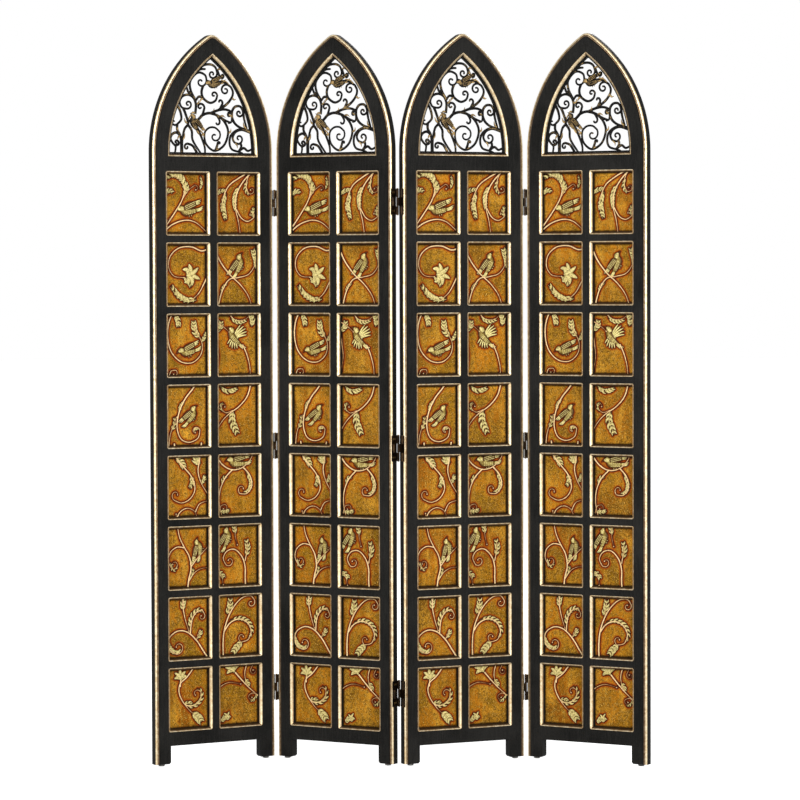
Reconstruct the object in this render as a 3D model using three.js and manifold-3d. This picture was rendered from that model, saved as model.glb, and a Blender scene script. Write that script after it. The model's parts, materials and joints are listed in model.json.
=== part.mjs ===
// A folding screen of four lancet-arched wooden panels, hinged edge to edge and standing in a zigzag.
// Millimetres, +Z up, the floor at Z 0. The painted faces look along -Y.
//
// Each panel has two stiles that run from foot to apex, a bottom rail, a glazing grid (transom, mullion
// and seven bars), one painted board behind the grid, a wrought grille in the arch and two glides.
// Each fold has three hinges of two leaves and a pin.
import * as THREE from 'three';
import { mergeVertices } from 'three/addons/utils/BufferGeometryUtils.js';
import Module from 'manifold-3d';

const wasm = await Module();
wasm.setup();

// ---- Driving dimensions ------------------------------------------------------------------------

const HEIGHT = 1830; // floor to apex
const PANEL_WIDTH = 336;
const THICKNESS = 25;
const PANEL_HEADINGS = [29.76, -29.41, 25.26, -29.99]; // degrees, from the X axis to the panel's width
const FOLD_GAP = 7; // between the edges of two panels laid flat
const CLEARANCE = 0.3; // between any two pieces that meet

// The frame's members and the mouldings worked on them.
const STILE_WIDTH = 42;
const BEAD_WIDTH = 10.5; // the gilt bead round the outer edge
const BEAD_DEPTH = 4.5;
const MOULDING_WIDTH = 7; // the gilt moulding round each opening
const MOULDING_DEPTH = 7;
const BAR_WIDTH = 16; // the flat of a glazing bar
const MULLION_WIDTH = 17; // the flat of the mullion
const TRANSOM_WIDTH = 36; // the flat of the transom
const ROWS = 8;
const TRANSOM_BELOW_SPRING = 10.4; // from the arch's spring down to the top of the transom's flat
const RAIL_BOTTOM = 50; // the lower edge of the bottom rail
const PANES_BOTTOM = 84.5; // the outer edge of the lowest moulding
const FOOT_CHAMFER = 4;
const GLIDE_HEIGHT = 5;
const GLIDE_RADIUS = 8;

// The board lies in a rebate behind the grid.
const BOARD_FACE_DEPTH = 15.5; // below the front of the frame
const BOARD_THICKNESS = 5;

// The arch: each side is an arc struck from a centre beyond the other side.
const ARCH_CENTRE_OFFSET = 182.5; // from the panel's middle to the centre of the far arc
const APEX_RADIUS = 22; // the rounding of the outer tip
const ARC_STEPS = 8;

// The grille of the arch.
const GRILLE_DEPTH = 14; // from the front of the frame to the grille's middle plane
const GRILLE_THICKNESS = 5;
const GRILLE_RIM_WIDTH = 4;
const SCROLL_WIDTH = 4;
const SCROLL_TIP_WIDTH = 2.4;

// The hinges.
const HINGE_HEIGHT = 65;
const LOW_HINGE_HEIGHT = 181; // from the floor to the lowest hinge's middle
const TOP_HINGE_BELOW_SPRING = 125;
const LEAF_THICKNESS = 1.5;
const KNUCKLE_RADIUS = 3.2;
const BORE_RADIUS = 2.1;
const PIN_RADIUS = 1.5;
const AXIS_PROUD = 1; // the working axis stands this far off the face
const IDLE_KNUCKLE_INSET = 2.9; // the idle knuckles lie this far inside the other face
const KNUCKLE_SIDES = 6;

// ---- Derived places ----------------------------------------------------------------------------

const HALF_WIDTH = PANEL_WIDTH / 2;
const FRONT = -THICKNESS / 2;
const BACK = THICKNESS / 2;
const OPENING_HALF = HALF_WIDTH - STILE_WIDTH;
const PANE_OUTER = OPENING_HALF + MOULDING_WIDTH;
const REBATE_FACE = FRONT + BOARD_FACE_DEPTH;
const OUTER_ARC = ARCH_CENTRE_OFFSET + HALF_WIDTH;
const OPENING_ARC = ARCH_CENTRE_OFFSET + OPENING_HALF;
const SPRING = HEIGHT - APEX_RADIUS - Math.sqrt((OUTER_ARC - APEX_RADIUS) ** 2 - ARCH_CENTRE_OFFSET ** 2);
const OPENING_APEX = SPRING + Math.sqrt(OPENING_ARC ** 2 - ARCH_CENTRE_OFFSET ** 2);
const TRANSOM_TOP = SPRING - TRANSOM_BELOW_SPRING; // the outer edge of the arch's lower moulding
const ARCH_SILL = TRANSOM_TOP + MOULDING_WIDTH; // the inner edge of the same moulding
const PANES_TOP = TRANSOM_TOP - TRANSOM_WIDTH;
const ROW_PITCH = (PANES_TOP + BAR_WIDTH - PANES_BOTTOM) / ROWS;
const PANE_HEIGHT = ROW_PITCH - BAR_WIDTH;
const TOP_HINGE_HEIGHT = SPRING - TOP_HINGE_BELOW_SPRING;
const HINGE_CENTRES = [LOW_HINGE_HEIGHT, (LOW_HINGE_HEIGHT + TOP_HINGE_HEIGHT) / 2, TOP_HINGE_HEIGHT];
const BEYOND = 5; // how far a cutter runs past what it cuts
const AXIS_X = HALF_WIDTH + FOLD_GAP / 2;

// ---- Materials ---------------------------------------------------------------------------------

const material = (color, roughness, metalness) => new THREE.MeshStandardMaterial({ color, roughness, metalness });
const LACQUER = material(0x1b1a18, 0.38, 0);
const GILT_BOARD = material(0xb88238, 0.5, 0.35);
const IRON = material(0x1d1c1b, 0.55, 0.7);
const BRASS = material(0x6a5432, 0.42, 0.85);
const STEEL = material(0x8c8a86, 0.35, 0.9);

// ---- Solids ------------------------------------------------------------------------------------

function solid(geometry) {
  const bare = geometry.clone();
  bare.deleteAttribute('normal');
  bare.deleteAttribute('uv');
  const merged = mergeVertices(bare, 1e-4);
  const mesh = new wasm.Mesh({
    numProp: 3,
    vertProperties: new Float32Array(merged.attributes.position.array),
    triVerts: new Uint32Array(merged.index.array),
  });
  return new wasm.Manifold(mesh);
}

function geometryOf(manifold) {
  const mesh = manifold.getMesh();
  const geometry = new THREE.BufferGeometry();
  geometry.setAttribute('position', new THREE.BufferAttribute(mesh.vertProperties, mesh.numProp));
  geometry.setIndex(new THREE.BufferAttribute(mesh.triVerts, 1));
  return geometry;
}

function box(x0, x1, y0, y1, z0, z1) {
  const geometry = new THREE.BoxGeometry(x1 - x0, y1 - y0, z1 - z0);
  geometry.translate((x0 + x1) / 2, (y0 + y1) / 2, (z0 + z1) / 2);
  return solid(geometry);
}

// A solid through outlines of equal length, each a counter-clockwise ring of [x, z] at its own y.
function loft(rings) {
  const count = rings[0].outline.length;
  const positions = rings.flatMap(({ outline, y }) => outline.flatMap(([x, z]) => [x, y, z]));
  const contour = rings[0].outline.map(([x, z]) => new THREE.Vector2(x, z));
  const caps = THREE.ShapeUtils.triangulateShape(contour, []);
  const last = (rings.length - 1) * count;
  const index = caps.flatMap(([a, b, c]) => [a, b, c, last + c, last + b, last + a]);
  for (let ring = 0; ring < rings.length - 1; ring += 1) {
    for (let i = 0; i < count; i += 1) {
      const a = ring * count + i;
      const b = ring * count + ((i + 1) % count);
      index.push(a, a + count, b, b, a + count, b + count);
    }
  }
  const geometry = new THREE.BufferGeometry();
  geometry.setAttribute('position', new THREE.Float32BufferAttribute(positions, 3));
  geometry.setIndex(index);
  return solid(geometry);
}

const slab = (outline, y0, y1) => loft([{ outline, y: y0 }, { outline, y: y1 }]);

// A plan of [x, y] carried straight up.
function upright(plan, z0, z1) {
  const shape = new THREE.Shape(plan.map(([x, y]) => new THREE.Vector2(x, y)));
  const geometry = new THREE.ExtrudeGeometry(shape, { depth: z1 - z0, bevelEnabled: false });
  geometry.translate(0, 0, z0);
  return solid(geometry);
}

// An upright prism with regular sides, for bores and pins.
function barrel(x, y, z0, z1, radius) {
  const geometry = new THREE.CylinderGeometry(radius, radius, z1 - z0, KNUCKLE_SIDES);
  geometry.rotateX(Math.PI / 2);
  geometry.translate(x, y, (z0 + z1) / 2);
  return solid(geometry);
}

// ---- Outlines ----------------------------------------------------------------------------------

const rectangle = (x0, x1, z0, z1) => [[x0, z0], [x1, z0], [x1, z1], [x0, z1]];

function arc(centreX, centreZ, radius, from, to, steps) {
  return Array.from({ length: steps + 1 }, (_, i) => {
    const angle = from + ((to - from) * i) / steps;
    return [centreX + radius * Math.cos(angle), centreZ + radius * Math.sin(angle)];
  });
}

const mirrored = (outline) => outline.map(([x, z]) => [-x, z]).reverse();

// The right side of the panel's outline, from the foot to the tip, drawn in by inset.
function panelOutline(inset) {
  const radius = OUTER_ARC - inset;
  const tipRadius = APEX_RADIUS - inset;
  const tipCentre = HEIGHT - APEX_RADIUS;
  const tangent = Math.atan2(tipCentre - SPRING, ARCH_CENTRE_OFFSET);
  const side = arc(-ARCH_CENTRE_OFFSET, SPRING, radius, 0, tangent, ARC_STEPS);
  const tip = arc(0, tipCentre, tipRadius, tangent, Math.PI / 2, 2).slice(1);
  const right = [[HALF_WIDTH - inset, GLIDE_HEIGHT], ...side, ...tip];
  return [...right, ...mirrored(right).slice(1)];
}

// The pointed opening over a sill, with both sides drawn in by inset.
function archOutline(sill, inset) {
  const radius = OPENING_ARC - inset;
  const foot = sill < SPRING ? [[OPENING_HALF - inset, sill]] : [];
  const start = Math.max(0, Math.asin((sill - SPRING) / radius));
  const apex = Math.acos(ARCH_CENTRE_OFFSET / radius);
  const right = [...foot, ...arc(-ARCH_CENTRE_OFFSET, SPRING, radius, start, apex, ARC_STEPS)];
  return [...right, ...mirrored(right).slice(1)];
}

// ---- Frame cutters -----------------------------------------------------------------------------

// An opening with a sloping moulding at its front: outline(inset) gives the ring at that inset.
function opening(outline, back) {
  const flare = MOULDING_WIDTH / MOULDING_DEPTH;
  return loft([
    { outline: outline(-BEYOND * flare), y: FRONT - BEYOND },
    { outline: outline(MOULDING_WIDTH), y: FRONT + MOULDING_DEPTH },
    { outline: outline(MOULDING_WIDTH), y: back },
  ]);
}

function paneOpening(x0, x1, row) {
  const z0 = PANES_BOTTOM + row * ROW_PITCH;
  const z1 = z0 + PANE_HEIGHT;
  return opening((inset) => rectangle(x0 + inset, x1 - inset, z0 + inset, z1 - inset), BACK + BEYOND);
}

const rows = Array.from({ length: ROWS }, (_, row) => row);
const paneOpenings = wasm.Manifold.union(rows.flatMap((row) => [
  paneOpening(-PANE_OUTER, -MULLION_WIDTH / 2, row),
  paneOpening(MULLION_WIDTH / 2, PANE_OUTER, row),
]));
const archOpening = opening((inset) => archOutline(TRANSOM_TOP + inset, inset), BACK + BEYOND);
const boardRebate = box(-PANE_OUTER, PANE_OUTER, REBATE_FACE, BACK + BEYOND, PANES_BOTTOM, PANES_TOP);

// All that lies between the stiles below the arch, with the inner corner of each foot taken off.
function betweenStiles() {
  const lowest = GLIDE_HEIGHT - BEYOND;
  const right = [
    [OPENING_HALF + FOOT_CHAMFER, lowest],
    [OPENING_HALF + FOOT_CHAMFER, GLIDE_HEIGHT],
    [OPENING_HALF, GLIDE_HEIGHT + FOOT_CHAMFER],
    [OPENING_HALF, ARCH_SILL],
  ];
  return slab([...right, ...mirrored(right)], FRONT - BEYOND, BACK + BEYOND);
}

// ---- The frame ---------------------------------------------------------------------------------

// The whole panel's block, with a rounded bead round its outer edge.
const panelBlock = loft([
  { outline: panelOutline(BEAD_WIDTH), y: FRONT },
  { outline: panelOutline(BEAD_WIDTH * (1 - Math.SQRT1_2)), y: FRONT + BEAD_DEPTH * (1 - Math.SQRT1_2) },
  { outline: panelOutline(0), y: FRONT + BEAD_DEPTH },
  { outline: panelOutline(0), y: BACK },
]);
const stilesBlock = panelBlock
  .subtract(betweenStiles())
  .subtract(archOpening)
  .subtract(paneOpenings)
  .subtract(boardRebate);

// side is 1 for the right stile and -1 for the left; a hinged edge is cut for its leaves.
function stile(side, hinged) {
  const inner = side > 0 ? CLEARANCE / 2 : -HALF_WIDTH - BEYOND;
  const outer = side > 0 ? HALF_WIDTH + BEYOND : -CLEARANCE / 2;
  let piece = stilesBlock.intersect(box(inner, outer, FRONT - BEYOND, BACK + BEYOND, 0, HEIGHT + BEYOND));
  if (hinged) {
    const floor = HALF_WIDTH - LEAF_THICKNESS - CLEARANCE;
    const near = Math.min(side * floor, side * (HALF_WIDTH + BEYOND));
    const far = Math.max(side * floor, side * (HALF_WIDTH + BEYOND));
    const half = HINGE_HEIGHT / 2 + CLEARANCE;
    for (const centre of HINGE_CENTRES) {
      piece = piece.subtract(box(near, far, FRONT - BEYOND, BACK + BEYOND, centre - half, centre + half));
    }
  }
  return piece;
}

function glazingGrid() {
  const half = OPENING_HALF - CLEARANCE;
  const bottom = PANES_BOTTOM + MOULDING_WIDTH + CLEARANCE;
  return box(-half, half, FRONT, REBATE_FACE, bottom, ARCH_SILL)
    .add(box(-half, half, FRONT, BACK, PANES_TOP, ARCH_SILL))
    .subtract(paneOpenings)
    .subtract(archOpening);
}

function bottomRail() {
  const half = OPENING_HALF - CLEARANCE;
  return box(-half, half, FRONT, REBATE_FACE, RAIL_BOTTOM, PANES_BOTTOM + MOULDING_WIDTH)
    .add(box(-half, half, FRONT, BACK, RAIL_BOTTOM, PANES_BOTTOM))
    .subtract(paneOpenings);
}

function paintedBoard() {
  const half = PANE_OUTER - CLEARANCE;
  const face = REBATE_FACE + CLEARANCE;
  return box(-half, half, face, face + BOARD_THICKNESS, PANES_BOTTOM + CLEARANCE, PANES_TOP - CLEARANCE);
}

// A nail-on glide under the middle of a foot.
function glide(x) {
  const top = GLIDE_HEIGHT - CLEARANCE;
  const profile = [[0, 0], [GLIDE_RADIUS - 2, 0], [GLIDE_RADIUS, top / 2], [GLIDE_RADIUS, top], [0, top]];
  const geometry = new THREE.LatheGeometry(profile.map(([r, y]) => new THREE.Vector2(r, y)), 8);
  geometry.rotateX(Math.PI / 2);
  geometry.translate(x, 0, 0);
  return solid(geometry);
}

// ---- The grille --------------------------------------------------------------------------------

// The scrolls are drawn for an opening of this size and stretched with the arch.
const DRAWN_HALF_WIDTH = 126;
const DRAWN_RISE = 252;

// Each scroll is a stem through its guide points, [x, z] from the middle of the arch's sill, and may end
// in an eye that winds in round a centre through a sweep in degrees, counter-clockwise where positive.
const SCROLLS = [
  {
    stem: [
      [-37, 83], [-22, 98], [0, 103], [26, 94], [43, 76], [49, 53], [37, 23],
      [10, 9], [-13, 26], [-17, 52], [-5, 66], [12, 67], [25, 57],
    ],
    eye: { at: [11, 45], sweep: -330 },
  },
  { stem: [[0, 103], [17, 98], [25, 86]], eye: { at: [18, 79], sweep: -200 } },
  { stem: [[26, 94], [40, 86], [57, 80]] },
  { stem: [[0, 103], [22, 111], [42, 113], [58, 107], [60, 94], [58, 82], [50, 79]] },
  { stem: [[22, 111], [46, 127], [60, 144], [63, 158], [57, 170]], eye: { at: [42, 161], sweep: 430 } },
  { stem: [[26, 113], [33, 126]], eye: { at: [26, 132], sweep: 220 } },
  { stem: [[-38, 84], [-24, 97], [-17, 116]], eye: { at: [-29, 118], sweep: 330 } },
  { stem: [[-20, 172], [-25, 156], [-20, 140], [-2, 129], [14, 135], [19, 148]], eye: { at: [9, 149], sweep: 300 } },
  {
    stem: [[-43, 100], [-41, 124], [-48, 141], [-63, 148], [-79, 143], [-86, 129], [-80, 116], [-68, 113]],
    eye: { at: [-63, 125], sweep: 380 },
  },
  {
    stem: [[-44, 138], [-55, 158], [-57, 180], [-43, 199], [-29, 204], [-14, 197], [-11, 184]],
    eye: { at: [-27, 181], sweep: -330 },
  },
  { stem: [[-43, 199], [-22, 221], [0, 225], [14, 218], [19, 205]], eye: { at: [5, 201], sweep: -400 } },
  { stem: [[19, 212], [25, 198], [33, 191]], eye: { at: [33, 198], sweep: 220 } },
  { stem: [[-76, 113], [-70, 100], [-63, 76], [-73, 62], [-79, 35], [-79, 2]] },
  { stem: [[-92, 121], [-84, 104], [-82, 86], [-93, 74]], eye: { at: [-102, 79], sweep: -250 } },
  { stem: [[-93, 74], [-93, 60], [-84, 42], [-83, 2]] },
  { stem: [[-84, 45], [-95, 53], [-107, 49], [-112, 38], [-106, 27], [-98, 18], [-100, 2]] },
  { stem: [[-99, 20], [-90, 24]], eye: { at: [-96, 29], sweep: 300 } },
  { stem: [[-38, 2], [-50, 20], [-61, 25]], eye: { at: [-67, 17], sweep: 330 } },
  { stem: [[-60, 86], [-63, 74], [-53, 58], [-50, 34], [-28, 2]] },
  { stem: [[-43, 72], [-33, 58], [-18, 22], [-16, 2]] },
  { stem: [[60, 94], [61, 110], [70, 121], [84, 121], [92, 109]], eye: { at: [80, 105], sweep: -380 } },
  { stem: [[60, 94], [67, 80], [82, 69], [110, 61]] },
  { stem: [[102, 64], [76, 62], [57, 48], [53, 28], [60, 13], [80, 7], [90, 3]] },
  { stem: [[110, 57], [88, 63], [70, 57], [62, 43], [67, 31], [79, 27]], eye: { at: [79, 41], sweep: 330 } },
  { stem: [[8, 178], [33, 182], [57, 170]] },
];
const EYE_STEP = 90; // degrees between the points of an eye
const EYE_END = 0.25; // an eye closes to this part of its first radius

// A place in the drawn scrolls, carried to the arch as it is.
const STRETCH = new THREE.Vector2(OPENING_HALF / DRAWN_HALF_WIDTH, (OPENING_APEX - ARCH_SILL) / DRAWN_RISE);
const drawn = ([x, z]) => new THREE.Vector2(x, z).multiply(STRETCH);

// The centre line of a scroll, as THREE.Vector2 points.
function scrollPath({ stem, eye }) {
  const points = stem.map(drawn);
  if (eye) {
    const centre = drawn(eye.at);
    const start = points.at(-1).clone().sub(centre);
    const steps = Math.round(Math.abs(eye.sweep) / EYE_STEP);
    for (let i = 1; i <= steps; i += 1) {
      const radius = start.length() * EYE_END ** (i / steps);
      const angle = start.angle() + THREE.MathUtils.degToRad((eye.sweep * i) / steps);
      points.push(new THREE.Vector2(radius * Math.cos(angle), radius * Math.sin(angle)).add(centre));
    }
  }
  return points;
}

// A cast bar along a scroll's path, flat at the back and ridged at the front, thinning toward its end.
function scrollBar(scroll) {
  const points = scrollPath(scroll);
  const front = FRONT + GRILLE_DEPTH - GRILLE_THICKNESS / 2;
  const positions = points.flatMap((point, i) => {
    const along = points[Math.min(i + 1, points.length - 1)].clone().sub(points[Math.max(i - 1, 0)]);
    const width = THREE.MathUtils.lerp(SCROLL_WIDTH, SCROLL_TIP_WIDTH, i / (points.length - 1));
    const across = new THREE.Vector2(-along.y, along.x).setLength(width / 2);
    const left = point.clone().add(across);
    const right = point.clone().sub(across);
    const back = front + GRILLE_THICKNESS;
    return [left.x, back, left.y, right.x, back, right.y, point.x, front, point.y];
  });
  const index = [0, 1, 2];
  for (let i = 0; i < points.length - 1; i += 1) {
    const at = i * 3;
    for (const [a, b] of [[1, 0], [2, 1], [0, 2]]) {
      index.push(at + a, at + b, at + b + 3, at + a, at + b + 3, at + a + 3);
    }
  }
  const end = (points.length - 1) * 3;
  index.push(end, end + 2, end + 1);
  const geometry = new THREE.BufferGeometry();
  geometry.setAttribute('position', new THREE.Float32BufferAttribute(positions, 3));
  geometry.setIndex(index);
  return solid(geometry);
}

// A perched bird: a body and a head, each a squashed ball, turned by tilt in the grille's plane.
const BIRDS = [
  { at: [-44, 78], tilt: -50 },
  { at: [8, 178], tilt: 22 },
];
const BIRD_BODY = { length: 32, height: 13, depth: 9 };
const BIRD_HEAD = { length: 13, height: 11, depth: 8 };

function ball(x, z, { length, height, depth }) {
  const geometry = new THREE.SphereGeometry(0.5, 6, 4);
  geometry.rotateX(Math.PI / 2);
  geometry.scale(length, depth, height);
  geometry.translate(x, 0, z);
  return solid(geometry);
}

function bird({ at, tilt }) {
  const { x, y: z } = drawn(at);
  return ball(0, 0, BIRD_BODY)
    .add(ball(-BIRD_BODY.length / 2, BIRD_HEAD.height / 4, BIRD_HEAD))
    .rotate([0, -tilt, 0])
    .translate([x, FRONT + GRILLE_DEPTH, z]);
}

function archGrille() {
  const y0 = FRONT + GRILLE_DEPTH - GRILLE_THICKNESS / 2;
  const y1 = y0 + GRILLE_THICKNESS;
  const edge = MOULDING_WIDTH + CLEARANCE;
  const inner = edge + GRILLE_RIM_WIDTH;
  const rim = slab(archOutline(ARCH_SILL + CLEARANCE, edge), y0, y1)
    .subtract(slab(archOutline(ARCH_SILL + CLEARANCE + GRILLE_RIM_WIDTH, inner), FRONT, BACK));
  const ornament = wasm.Manifold.union([...SCROLLS.map(scrollBar), ...BIRDS.map(bird)])
    .translate([0, 0, ARCH_SILL]);
  const halfRim = GRILLE_RIM_WIDTH / 2;
  const field = slab(archOutline(ARCH_SILL + CLEARANCE + halfRim, edge + halfRim), FRONT, BACK);
  return rim.add(ornament.intersect(field));
}

// ---- Hinges ------------------------------------------------------------------------------------

// Knuckles fill the middle third of a hinge's height or the two outer thirds.
function thirds(middle) {
  const third = HINGE_HEIGHT / 3;
  const inner = [[-third / 2 + CLEARANCE / 2, third / 2 - CLEARANCE / 2]];
  const outer = [[-HINGE_HEIGHT / 2, -third / 2 - CLEARANCE / 2], [third / 2 + CLEARANCE / 2, HINGE_HEIGHT / 2]];
  return middle ? inner : outer;
}

// A knuckle's plan about an axis at (AXIS_X, y) beyond a right edge: a barrel on a web from the plate.
// face is the side of the panel that it lies toward.
function knucklePlan(y, face) {
  const root = HALF_WIDTH - LEAF_THICKNESS / 2;
  const outside = Math.min(Math.abs(y) + KNUCKLE_RADIUS, BACK);
  const inside = Math.min(Math.abs(y) - KNUCKLE_RADIUS, BACK - LEAF_THICKNESS);
  const from = Math.PI - Math.asin((Math.abs(y) - inside) / KNUCKLE_RADIUS);
  const to = Math.asin(THREE.MathUtils.clamp((outside - Math.abs(y)) / KNUCKLE_RADIUS, -1, 1));
  const round = arc(AXIS_X, Math.abs(y), KNUCKLE_RADIUS, -from, Math.PI - to, KNUCKLE_SIDES - 1);
  return [[root, inside], ...round, [root, outside]].map(([x, depth]) => [x, face * depth]);
}

// One leaf, centred on its hinge's height. side is the edge it lies in and face is -1 for a front axis.
// It has working knuckles on the axis and idle ones at the other face.
function leaf(side, face) {
  const half = HINGE_HEIGHT / 2;
  const frontMiddle = side > 0;
  let piece = box(HALF_WIDTH - LEAF_THICKNESS, HALF_WIDTH, FRONT, BACK, -half, half);
  for (const working of [true, false]) {
    const toward = working ? face : -face;
    const y = toward * (working ? BACK + AXIS_PROUD : BACK - IDLE_KNUCKLE_INSET);
    const plan = knucklePlan(y, toward);
    for (const [z0, z1] of thirds(toward < 0 ? frontMiddle : !frontMiddle)) {
      piece = piece.add(upright(plan, z0, z1));
    }
    if (working) piece = piece.subtract(barrel(AXIS_X, y, -half - BEYOND, half + BEYOND, BORE_RADIUS));
  }
  return side > 0 ? piece : piece.mirror([1, 0, 0]);
}

// The pin stands on the axis of the left panel's edge.
function pin(face) {
  return barrel(AXIS_X, face * (BACK + AXIS_PROUD), -HINGE_HEIGHT / 2, HINGE_HEIGHT / 2, PIN_RADIUS);
}

// ---- The assembly ------------------------------------------------------------------------------

const screen = new THREE.Group();

function addPiece(group, name, manifold, finish, height = 0) {
  const mesh = new THREE.Mesh(geometryOf(manifold), finish);
  mesh.name = name;
  mesh.position.z = height;
  group.add(mesh);
}

// A fold opens toward the viewer where the next panel comes forward: its axis is then at the front.
const foldFace = (fold) => (PANEL_HEADINGS[fold] > PANEL_HEADINGS[fold + 1] ? -1 : 1);
const lastPanel = PANEL_HEADINGS.length - 1;
const edge = new THREE.Vector2(); // where the fold before the panel has its axis
const shared = {
  grid: glazingGrid(),
  rail: bottomRail(),
  board: paintedBoard(),
  grille: archGrille(),
};

PANEL_HEADINGS.forEach((heading, i) => {
  const turn = THREE.MathUtils.degToRad(heading);
  const local = (x, y) => new THREE.Vector2(x, y).rotateAround(new THREE.Vector2(), turn);
  const group = new THREE.Group();
  const before = i > 0 ? foldFace(i - 1) * (BACK + AXIS_PROUD) : 0;
  const centre = edge.clone().sub(local(-AXIS_X, before));
  group.position.set(centre.x, centre.y, 0);
  group.rotation.z = turn;
  screen.add(group);

  const name = `panel_${i + 1}`;
  addPiece(group, `${name}_stile_left`, stile(-1, i > 0), LACQUER);
  addPiece(group, `${name}_stile_right`, stile(1, i < lastPanel), LACQUER);
  addPiece(group, `${name}_bottom_rail`, shared.rail, LACQUER);
  addPiece(group, `${name}_glazing_grid`, shared.grid, LACQUER);
  addPiece(group, `${name}_painted_board`, shared.board, GILT_BOARD);
  addPiece(group, `${name}_arch_grille`, shared.grille, IRON);
  addPiece(group, `${name}_glide_left`, glide(-HALF_WIDTH + STILE_WIDTH / 2), STEEL);
  addPiece(group, `${name}_glide_right`, glide(HALF_WIDTH - STILE_WIDTH / 2), STEEL);

  HINGE_CENTRES.forEach((height, level) => {
    if (i < lastPanel) {
      const hinge = `fold_${i + 1}_hinge_${level + 1}`;
      addPiece(group, `${hinge}_leaf_a`, leaf(1, foldFace(i)), BRASS, height);
      addPiece(group, `${hinge}_pin`, pin(foldFace(i)), BRASS, height);
    }
    if (i > 0) addPiece(group, `fold_${i}_hinge_${level + 1}_leaf_b`, leaf(-1, foldFace(i - 1)), BRASS, height);
  });

  if (i < lastPanel) edge.copy(centre).add(local(AXIS_X, foldFace(i) * (BACK + AXIS_PROUD)));
});

// The middle of the screen's footprint stands on the origin.
const bounds = new THREE.Box3().setFromObject(screen, true);
screen.position.set(-(bounds.min.x + bounds.max.x) / 2, -(bounds.min.y + bounds.max.y) / 2, 0);

export default screen;
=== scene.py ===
# %% [markdown]
# # A four-panel folding screen with lancet arches
# The screen is four narrow wooden panels, hinged edge to edge and standing in a zigzag. Each panel
# has a black lacquered frame, gilt mouldings round sixteen small panes, one gilded and painted board
# behind them and a forged iron grille in its pointed arch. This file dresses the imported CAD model:
# it makes finer pieces in the same places, and gives every surface a finish made of nodes.

# %% Load the frame
import json
import math

import bmesh
import bpy
import numpy as np
from mathutils import Matrix, Vector
from mathutils.geometry import tessellate_polygon
from mathutils.kdtree import KDTree

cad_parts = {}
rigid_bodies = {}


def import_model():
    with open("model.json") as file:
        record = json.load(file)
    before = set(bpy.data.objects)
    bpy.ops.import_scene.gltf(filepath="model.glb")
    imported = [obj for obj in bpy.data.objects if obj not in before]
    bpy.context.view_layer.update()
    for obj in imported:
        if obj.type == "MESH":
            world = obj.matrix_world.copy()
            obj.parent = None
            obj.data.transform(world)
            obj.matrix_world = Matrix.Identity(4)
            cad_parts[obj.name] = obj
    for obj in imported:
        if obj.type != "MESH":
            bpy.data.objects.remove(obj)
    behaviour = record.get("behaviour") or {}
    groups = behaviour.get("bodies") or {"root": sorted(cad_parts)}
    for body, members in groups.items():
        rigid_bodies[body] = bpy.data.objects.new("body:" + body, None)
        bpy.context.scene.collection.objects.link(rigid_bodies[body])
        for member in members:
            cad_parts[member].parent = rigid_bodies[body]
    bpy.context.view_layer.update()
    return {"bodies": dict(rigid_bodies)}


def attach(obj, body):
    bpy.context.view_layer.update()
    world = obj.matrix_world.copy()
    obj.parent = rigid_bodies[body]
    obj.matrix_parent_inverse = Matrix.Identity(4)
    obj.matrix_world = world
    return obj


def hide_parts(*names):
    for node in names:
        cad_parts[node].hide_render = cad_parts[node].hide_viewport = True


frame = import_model()
print("bodies:", ", ".join(frame["bodies"]))

# %% [markdown]
# ## The camera
# The photograph was taken from straight ahead, a little above the middle, with a long lens. The
# distance and the lens come from how the feet and the tips of the four panels line up, so the same
# place is used here. A long lens far away keeps the outlines of the panels nearly parallel.

# %% Set the camera
CAMERA_PLACE = (0.0, -8.770, 1.2345)
CAMERA_LENS = 157.14
CAMERA_PITCH = 2.097  # degrees down
CAMERA_ROLL = -0.0032  # radians


def add_object(name, data):
    """Puts data into the scene as an object."""
    thing = bpy.data.objects.new(name, data)
    bpy.context.scene.collection.objects.link(thing)
    return thing


camera_data = bpy.data.cameras.new("view_camera")
camera_data.lens = CAMERA_LENS
camera_data.sensor_width = 36.0
camera_data.clip_end = 100.0
camera = add_object("view_camera", camera_data)
level = Matrix.Rotation(math.radians(90 - CAMERA_PITCH), 4, "X")
camera.matrix_world = Matrix.Translation(CAMERA_PLACE) @ level @ Matrix.Rotation(CAMERA_ROLL, 4, "Z")
bpy.context.scene.camera = camera
bpy.context.scene.view_settings.view_transform = "Standard"
print("camera at", CAMERA_PLACE, "lens", CAMERA_LENS)

# %% [markdown]
# ## Sizes
# The sizes are those of the CAD model, in millimetres. Inside a panel, x runs across it, y into its
# thickness with the painted face at the front (-y), and z up from the floor.

# %% The sizes of a panel
MM = 0.001
HEIGHT = 1830.0
HALF_WIDTH = 168.0
FRONT = -12.5
BACK = 12.5
THICKNESS = BACK - FRONT
OPENING_HALF = 126.0
PANE_OUTER = 133.0
MULLION_HALF = 8.5
MOULDING = 7.0
FLOOR_GAP = 5.0  # the glides under the feet
RAIL_BOTTOM = 50.0
PANES_BOTTOM = 84.5
ROWS = 8
BAR = 16.0
ARCH_OFFSET = 182.5
TIP_RADIUS = 22.0
OUTER_ARC = ARCH_OFFSET + HALF_WIDTH
OPENING_ARC = ARCH_OFFSET + OPENING_HALF
SPRING = HEIGHT - TIP_RADIUS - math.sqrt((OUTER_ARC - TIP_RADIUS) ** 2 - ARCH_OFFSET**2)
ARCH_SILL = SPRING - 10.4 + MOULDING
PANES_TOP = ARCH_SILL - MOULDING - 36.0
ROW_PITCH = (PANES_TOP + BAR - PANES_BOTTOM) / ROWS
PANE_HEIGHT = ROW_PITCH - BAR
PANE_WIDTH = PANE_OUTER - MULLION_HALF
REBATE_DEPTH = 15.5
BOARD_DEPTH = 15.8  # from the front of the frame to the painted face
BOARD_THICKNESS = 5.0
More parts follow.
